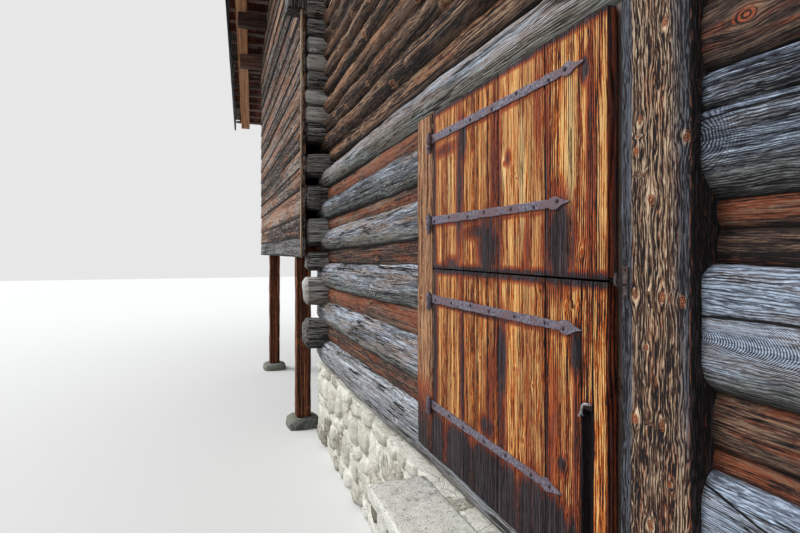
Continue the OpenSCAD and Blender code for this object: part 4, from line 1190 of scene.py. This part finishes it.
hook += [nail_at(hook_x, LEAF_FACE - 0.0065, split + z, 0.7) for z in (-0.045, 0.045)]
build_in(hook, "latch_hook_iron", hook_iron, "iron", "latch_hook", waves=((0.03, 0.001),), angle=40)
bpy.data.objects.remove(NAIL)
grip_x, grip_z = 3.583, 1.748
S_BEND = [(-0.021, 0.001, -0.026), (-0.021, -0.010, -0.027), (-0.015, -0.018, -0.026),
          (-0.004, -0.020, -0.017), (0.000, -0.020, -0.005), (0.002, -0.020, 0.008),
          (0.008, -0.020, 0.019), (0.017, -0.018, 0.024), (0.023, -0.011, 0.022), (0.024, 0.001, 0.021)]
handle = bent_rod([(grip_x + x, LEAF_FACE + y, grip_z + z) for x, y, z in S_BEND], 0.0046)
build_in([handle], "lower_door_pull", pull_iron, "iron", "lower_door_handle", angle=40, body="lower_door")

# The doorstep: a rough slab of light stone on two squared stone legs, all three sawn or split and
# laid dry, with their edges worn round by feet and frost.
step_stone = stone_finish("step_stone", 0.006, (112, 110, 106), (214, 213, 204), (240, 239, 230),
                          (180, 182, 168), Mossy=0.3, Veins=0.0, Specks=0.9, Size=0.8)


def stone_block(low, high):
    """A squared block of stone with worn edges."""
    made = worked(block(low, high), (0.8, 48), (0.2, 12), edge=0.014, segments=3)
    tell(made, "tone", 0.5)
    return made


slab = [stone_block(*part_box("doorstep_slab"))]
lo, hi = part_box("doorstep_legs")
LEG_WIDE, LEGS_LEFT = 0.18, (2.145, 3.585)
legs = [stone_block((x, lo[1], lo[2]), (x + LEG_WIDE, hi[1], hi[2])) for x in LEGS_LEFT]
for parts, name, node in ((slab, "doorstep_stone", "doorstep_slab"),
                          (legs, "doorstep_leg_stones", "doorstep_legs")):
    build_in(parts, name, step_stone, "stone", node, waves=((0.14, 0.012), (0.03, 0.004)), angle=60,
             trim=lambda x, y, z: (x, y, np.maximum(z, 0)))

# The bay: posts on boulders, a frame of sill beams and joists, studs, and horizontal lapped boards
# outside, rough-sawn and eaten by the weather. Upright strips close the corner.
# Dark_Low and Dark_High darken each board along its lower and upper edges, as painted shade where the boards
# lap.
board_wood = wood_finish("board_wood", 0.03, (28, 24, 25), (98, 83, 78), (206, 190, 176), (208, 124, 66),
                         Under=tint(70, 54, 46), Bleached=tint(168, 164, 164), Line_Width=0.018, Lines=0.45,
                         Streaks=0.95, Fibres=1.1, Crumbs=1.1, Fineness=0.8, Crack_Width=1.5,
                         Knot_Size=0.024, Knot_Gap=0.6, Warmth=0.7, Dark_Low=0.8, Dark_High=0.5, Spread=0.6)
bay_frame = wood_finish("bay_frame", 0.008, (40, 24, 20), (116, 66, 46), (190, 124, 80), (190, 100, 52),
                        Under=tint(70, 50, 40), Streaks=0.7, Cracks=0.7, Knot_Size=0.024, Knot_Gap=0.6,
                        Warmth=0.5)
strip_wood = wood_finish("strip_wood", 0.01, (64, 50, 44), (150, 126, 104), (216, 194, 166), (192, 138, 92),
                         Line_Width=0.01, Lines=0.7, Fibres=0.8, Crumbs=0.7, Cracks=0.8, Knot_Gap=0.7,
                         Spread=0.3)
BOARD_END, CORBEL_LEFT, CORBEL_FOOT, CORBEL_TOP = -1.157, -1.446, 5.169, 5.506
BOARD_JOINTS = [2.237, 2.48, 2.73, 3.07, 3.33, 3.56, 3.86, 4.10, 4.40, 4.64, 4.92, CORBEL_FOOT, CORBEL_TOP]
BOARD_JOINTS += [CORBEL_TOP + 0.28 * (k + 1) for k in range(12)]
BOARDING, BOARD_HALF, BAY_LEFT, LEAN, OVERLAP = 5.266, 0.013, -7.32, 0.056, 0.03
POST, SILL_BEAM, STRIP, STUD_HALF, STUD_DEEP = 0.19, 0.22, 0.022, 0.06, 0.14


def under_roof(x, y, z):
    """Draws the ends and tops of the boards in under the roof."""
    return np.maximum(x, -(RIDGE - ROOF_GAP - z) / SLOPE), y, np.minimum(z, under(x) - ROOF_GAP)


for face, node in ((-1, "bay_boarding_front"), (1, "bay_boarding_back")):
    boards = []
    for low, high in zip(BOARD_JOINTS, BOARD_JOINTS[1:]):
        left = max(BAY_LEFT, -(RIDGE - ROOF_GAP - low - 0.02) / SLOPE)
        notched = face < 0 and low == CORBEL_FOOT
        over = 0 if face < 0 and high == CORBEL_FOOT else OVERLAP
        board = beam(left, CORBEL_LEFT if notched else BOARD_END, face * BOARDING - BOARD_HALF,
                     face * BOARDING + BOARD_HALF, low, high + over, dice, 0.004, 2,
                     60 if face < 0 else 20, (0.07, 0.02))
        tell(board, "bleach", 0.8 if low == BOARD_JOINTS[0] else 0.0)
        shift(board, lambda x, y, z: (x, y + face * (0.006 - LEAN * (z - low)), z))
        boards.append(board)
    build_in(boards, f"{node}_planks", board_wood, "brown_wood", node, waves=((0.3, 0.012), (0.06, 0.006)),
             trim=under_roof)
lo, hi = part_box("bay_corner_strips")
strips = [beam(lo[0], hi[0], y, y + STRIP, z0, z1, dice, 0.005, 0, 40, (0.04, 0.02))
          for y, z0, z1 in ((lo[1], lo[2], CORBEL_FOOT), (lo[1], CORBEL_TOP, hi[2] - 0.02),
                            (hi[1] - STRIP, lo[2], hi[2] - 0.02))]
build_in(strips, "bay_corner_boards", strip_wood, "pale_wood", "bay_corner_strips", waves=((0.3, 0.006),))
lo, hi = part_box("bay_posts")
posts = [beam(x, x + POST, y, y + POST, lo[2], hi[2], dice, 0.02, 1, 30, (0.03, 0.02))
         for x in (lo[0], hi[0] - POST) for y in (lo[1], hi[1] - POST)]
build_in(posts, "bay_post_timbers", bay_frame, "brown_wood", "bay_posts", waves=((0.3, 0.02),))
lo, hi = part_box("bay_sill_beams")
beams = [beam(lo[0], hi[0], y, y + SILL_BEAM, lo[2], hi[2], dice, 0.02, 1, 40)
         for y in (lo[1], hi[1] - SILL_BEAM)]
beams += [beam(x, x + SILL_BEAM, lo[1] + SILL_BEAM, hi[1] - SILL_BEAM, lo[2], hi[2], dice, 0.02, 1, 50)
          for x in (lo[0], hi[0] - SILL_BEAM)]
build_in(beams, "bay_sill_timbers", bay_frame, "brown_wood", "bay_sill_beams", waves=((0.3, 0.015),))
FLOOR_UNDER, FLOOR_TOP = 2.455, 2.505
lo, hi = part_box("bay_floor")
edges = np.linspace(lo[0], hi[0], 23)
boards = [beam(a + SEAM, b - SEAM, lo[1], hi[1], FLOOR_UNDER, FLOOR_TOP, dice, 0.005, 0, 8, (0.03, 0.1))
          for a, b in zip(edges, edges[1:])]
boards += [beam(-7.06, -1.945, y - 0.06, y + 0.06, 2.295, FLOOR_UNDER, dice, 0.015, 0, 20)
           for y in range(-4, 5)]
build_in(boards, "bay_floor_planks", bay_frame, "brown_wood", "bay_floor", angle=40)
studs = []
for x in (-7.02 + i * 5.57 / 5 for i in range(1, 5)):
    for y in (-5.25, 5.25 - STUD_DEEP):
        studs.append(beam(x - STUD_HALF, x + STUD_HALF, y, y + STUD_DEEP, FLOOR_TOP,
                          float(under(x - STUD_HALF)) - 0.008, dice, 0.008, 0, 30))
build_in(studs, "bay_stud_timbers", bay_frame, "brown_wood", "bay_studs", angle=40)

# The roof frame: heavy purlins whose heads stand out under the verges, rafters in pairs, a rafter
# along each skewed verge, and sawn battens across them. Dark with age; battens paler.
EAVE, GABLE, VERGE_AT_RIDGE, VERGE_AT_EAVE = 10.00, 5, 1.48, 0.77
roof_wood = wood_finish("roof_wood", 0.008, (26, 22, 24), (78, 60, 54), (136, 110, 96), (120, 74, 50),
                        Under=tint(60, 46, 42), Streaks=0.7, Cracks=0.8, Knot_Size=0.024)
pale_rafter = wood_finish("pale_rafter", 0.006, (130, 84, 62), (226, 164, 124), (246, 206, 168),
                          (232, 152, 104), Under=tint(228, 158, 118), Lines=0.48, Fibres=0.4, Cracks=0.4,
                          Spread=0.3)
batten_wood = wood_finish("batten_wood", 0.005, (78, 62, 62), (150, 128, 124), (204, 186, 180),
                          (160, 110, 92), Lines=0.5, Cracks=0.3, Warmth=0.3)
grey_board = wood_finish("grey_board", 0.008, (34, 38, 44), (86, 94, 104), (150, 158, 166), (110, 100, 90),
                         Under=tint(70, 74, 80), Streaks=0.7, Cracks=0.8, Knot_Gap=1.0, Warmth=0.25)


def verge(x):
    """How far the roof stands out past the gable wall, at a distance from the ridge."""
    return VERGE_AT_RIDGE + (VERGE_AT_EAVE - VERGE_AT_RIDGE) * np.abs(x) / EAVE


def half_depth(x):
    """From the middle of the building to the roof's edge."""
    return GABLE + float(verge(x))


def to_the_slope(x, y, z):
    """Shears a flat-built piece down to its place on the slope of the roof."""
    return x, y, z + under(x)


def on_verge(piece, end, inset):
    """Moves a piece built along X at y = 0 out to a line inside the skewed verge."""
    shift(piece, lambda x, y, z: (x, y + end * (GABLE + verge(x) - inset), z))
    return piece


PURLIN_HALF, PURLIN_HIGH, PURLIN_BACK = 0.095, 0.21, 0.22
purlins = []
for x in (-WALL_X, -5.97, -3, 3, 5.97, WALL_X, 0):
    reach, top = half_depth(x) - PURLIN_BACK, float(under(abs(x) + PURLIN_HALF))
    purlins.append(beam(x - PURLIN_HALF, x + PURLIN_HALF, -reach, reach, top - PURLIN_HIGH, top, dice,
                        0.02, 1, 60))
    if x:
        shift(purlins[-1], lambda x, y, z: (x, y, np.where(z > top - 0.1, z + under(x) - top, z)))
for parts, name, node in ((purlins[:-1], "purlin_timbers", "purlins"),
                          (purlins[-1:], "ridge_purlin_timber", "ridge_purlin")):
    build_in(parts, name, roof_wood, "brown_wood", node, waves=((0.3, 0.012),))
SLOPES = ((-EAVE, -0.002), (0.002, EAVE))
RAFTER_HALF, RAFTER_HIGH, VERGE_HALF, BOARD_IN = 0.06, 0.15, 0.1075, 0.02
rafters = [beam(x0, x1, y - RAFTER_HALF, y + RAFTER_HALF, 0, RAFTER_HIGH, dice, 0.012, 0, 30)
           for y in ((i - 5.5) * 0.9 for i in range(12)) for x0, x1 in SLOPES]
build_in(rafters, "rafter_timbers", roof_wood, "brown_wood", "rafters", lay=to_the_slope,
         waves=((0.3, 0.012),))
outer, edging = [], []
for end in (-1, 1):
    for x0, x1 in SLOPES:
        rafter = beam(x0, x1, -VERGE_HALF, VERGE_HALF, 0, RAFTER_HIGH, dice, 0.008, 0, 30)
        outer.append(on_verge(rafter, end, 0.2875))
        board = beam(x0, x1, -BOARD_IN, BOARD_IN, -0.06, 0.19, dice, 0.006, 1, 60, (0.06, 0.02))
        edging.append(on_verge(board, end, BOARD_IN))
for parts, name, material, slot, node in (
        (outer, "verge_rafter_timbers", pale_rafter, "pale_wood", "verge_rafters"),
        (edging, "verge_edge_boards", grey_board, "grey_wood", "verge_boards")):
    build_in(parts, name, material, slot, node, lay=to_the_slope, waves=((0.3, 0.01),))
battens = []
for x in (0.06 + i * 0.3 for i in range(34)):
    reach = half_depth(x) - 0.05
    for x0, x1 in ((-x - 0.06, -x), (x, x + 0.06)):
        battens.append(beam(x0, x1, -reach, reach, 0.151, 0.19, dice, 0.005, 0, 24))
build_in(battens, "roof_battens", batten_wood, "pale_wood", "battens", lay=to_the_slope)

# The covering: split larch shingles in lapped courses over a layer of boards, silver grey outside
# and red-brown beneath. Ridge boards cap it, and poles and field stones weigh it down.
soffit_wood = wood_finish("soffit_wood", 0.008, (36, 18, 18), (96, 48, 40), (140, 84, 64), (120, 60, 44),
                          Line_Width=0.016, Streaks=0.8, Cracks=0.6, Spread=0.5)
shingle_wood = wood_finish("shingle_wood", 0.008, (44, 46, 50), (112, 114, 116), (170, 172, 172),
                           (120, 108, 92), Line_Width=0.012, Streaks=0.7, Fibres=0.6, Cracks=0.6,
                           Warmth=0.3, Spread=0.9)
BLANK_WIDE, SHINGLE, LAP = 0.2, 0.62, 0.33
for side, node in ((-1, "roof_left"), (1, "roof_right")):
    boards, y = [], -6.42
    blank = timber(EAVE, BLANK_WIDE, 0.012, 0.002, 0, 5)
    while y < 6.42:
        wide = dice.uniform(0.16, 0.26)
        past = GABLE + VERGE_AT_RIDGE - max(abs(y), abs(y + wide))
        reach = min(EAVE, EAVE * past / (VERGE_AT_RIDGE - VERGE_AT_EAVE))
        if reach > 0.1:
            board = copy_of(blank, "board")
            grained(board, dice, (0.02, 0.06))
            board.data.transform(Matrix.Translation((side * reach / 2, y + wide / 2, 0.198)) @
                                 Matrix.Diagonal((reach / EAVE, (wide - 0.004) / BLANK_WIDE, 1, 1)))
            boards.append(board)
        y += wide
    bpy.data.objects.remove(blank)
    build_in(boards, f"{node}_soffit_boards", soffit_wood, "brown_wood", lay=to_the_slope, angle=None)
    blank = timber(SHINGLE, BLANK_WIDE, 0.022, 0.004, 0, 1, 0.006)
    shingles, tail = [], EAVE + 0.035
    while tail > 0.25:
        end, head = half_depth(tail), max(tail - SHINGLE, 0.01)
        y = 0.005 - end
        while y < end - 0.06:
            wide = min(dice.uniform(0.12, 0.24), end - y)
            shingle = copy_of(blank, "shingle")
            grained(shingle, dice, (0.02, 0.08))
            slip = dice.uniform(0, 0.03)
            spread = (tail - head) / SHINGLE
            shingle.data.transform(Matrix.Diagonal((spread, (wide - 0.006) / BLANK_WIDE, 1, 1)))
            middle = (tail + head) / 2 - slip
            shift(shingle, lambda along, across, up: (
                side * (middle + along), across + y + wide / 2, up + 0.224 + 0.05 * along / SHINGLE))
            shingles.append(shingle)
            y += wide
        tail -= LAP
    bpy.data.objects.remove(blank)
    build_in(shingles, f"{node}_shingles", shingle_wood, "shingle", node, lay=to_the_slope, angle=None)
boards = [beam(x0, x1, -6.48, 6.48, 0.262, 0.292, dice, 0.005, 0, 60, (0.06, 0.02))
          for x0, x1 in ((-0.22, 0), (0, 0.22))]
build_in(boards, "ridge_cap_boards", grey_board, "shingle", "ridge_boards", lay=to_the_slope,
         waves=((0.3, 0.008),))
COVERING_TOP, POLE_RADIUS = 0.2603, 0.055
poles, stones, rock = [], [], boulder(2)
for x in (i * EAVE / 5 - 0.26 for i in range(1, 6)):
    reach = half_depth(x) - 0.06
    for side in (-1, 1):
        only()
        bpy.ops.mesh.primitive_cylinder_add(vertices=14, radius=POLE_RADIUS, depth=2 * reach,
                                            rotation=(0, math.radians(90), 0))
        bpy.ops.object.transform_apply()
        pole = worked(bpy.context.object, (1, 70))
        grained(pole, dice, (0.01, 0.01))
        pole.data.transform(Matrix.Translation((side * x, 0, float(under(x)) + COVERING_TOP + 0.0582)) @
                            QUARTER)
        poles.append(pole)
        y = -reach + dice.uniform(0.5, 1.0)
        while y < reach - 0.3:
            stone = copy_of(rock, "stone")
            size = (dice.uniform(0.2, 0.32), dice.uniform(0.22, 0.36), dice.uniform(0.12, 0.2))
            spot = (side * (x - 0.15), y, float(under(x - 0.15)) + 0.262 + size[2] * 0.42)
            stone.data.transform(Matrix.Translation(spot) @ Matrix.Rotation(side * math.radians(19), 4, "Y") @
                                 Matrix.Diagonal((*size, 1)))
            tell(stone, "tone", dice.random())
            stones.append(stone)
            y += dice.uniform(1.4, 2.2)
bpy.data.objects.remove(rock)
build_in(poles, "roof_pole_logs", grey_board, "grey_wood", "roof_poles", waves=((0.4, 0.03), (0.1, 0.008)))
build_in(stones, "roof_stones", fieldstone, "stone", waves=((0.15, 0.06),), angle=75)
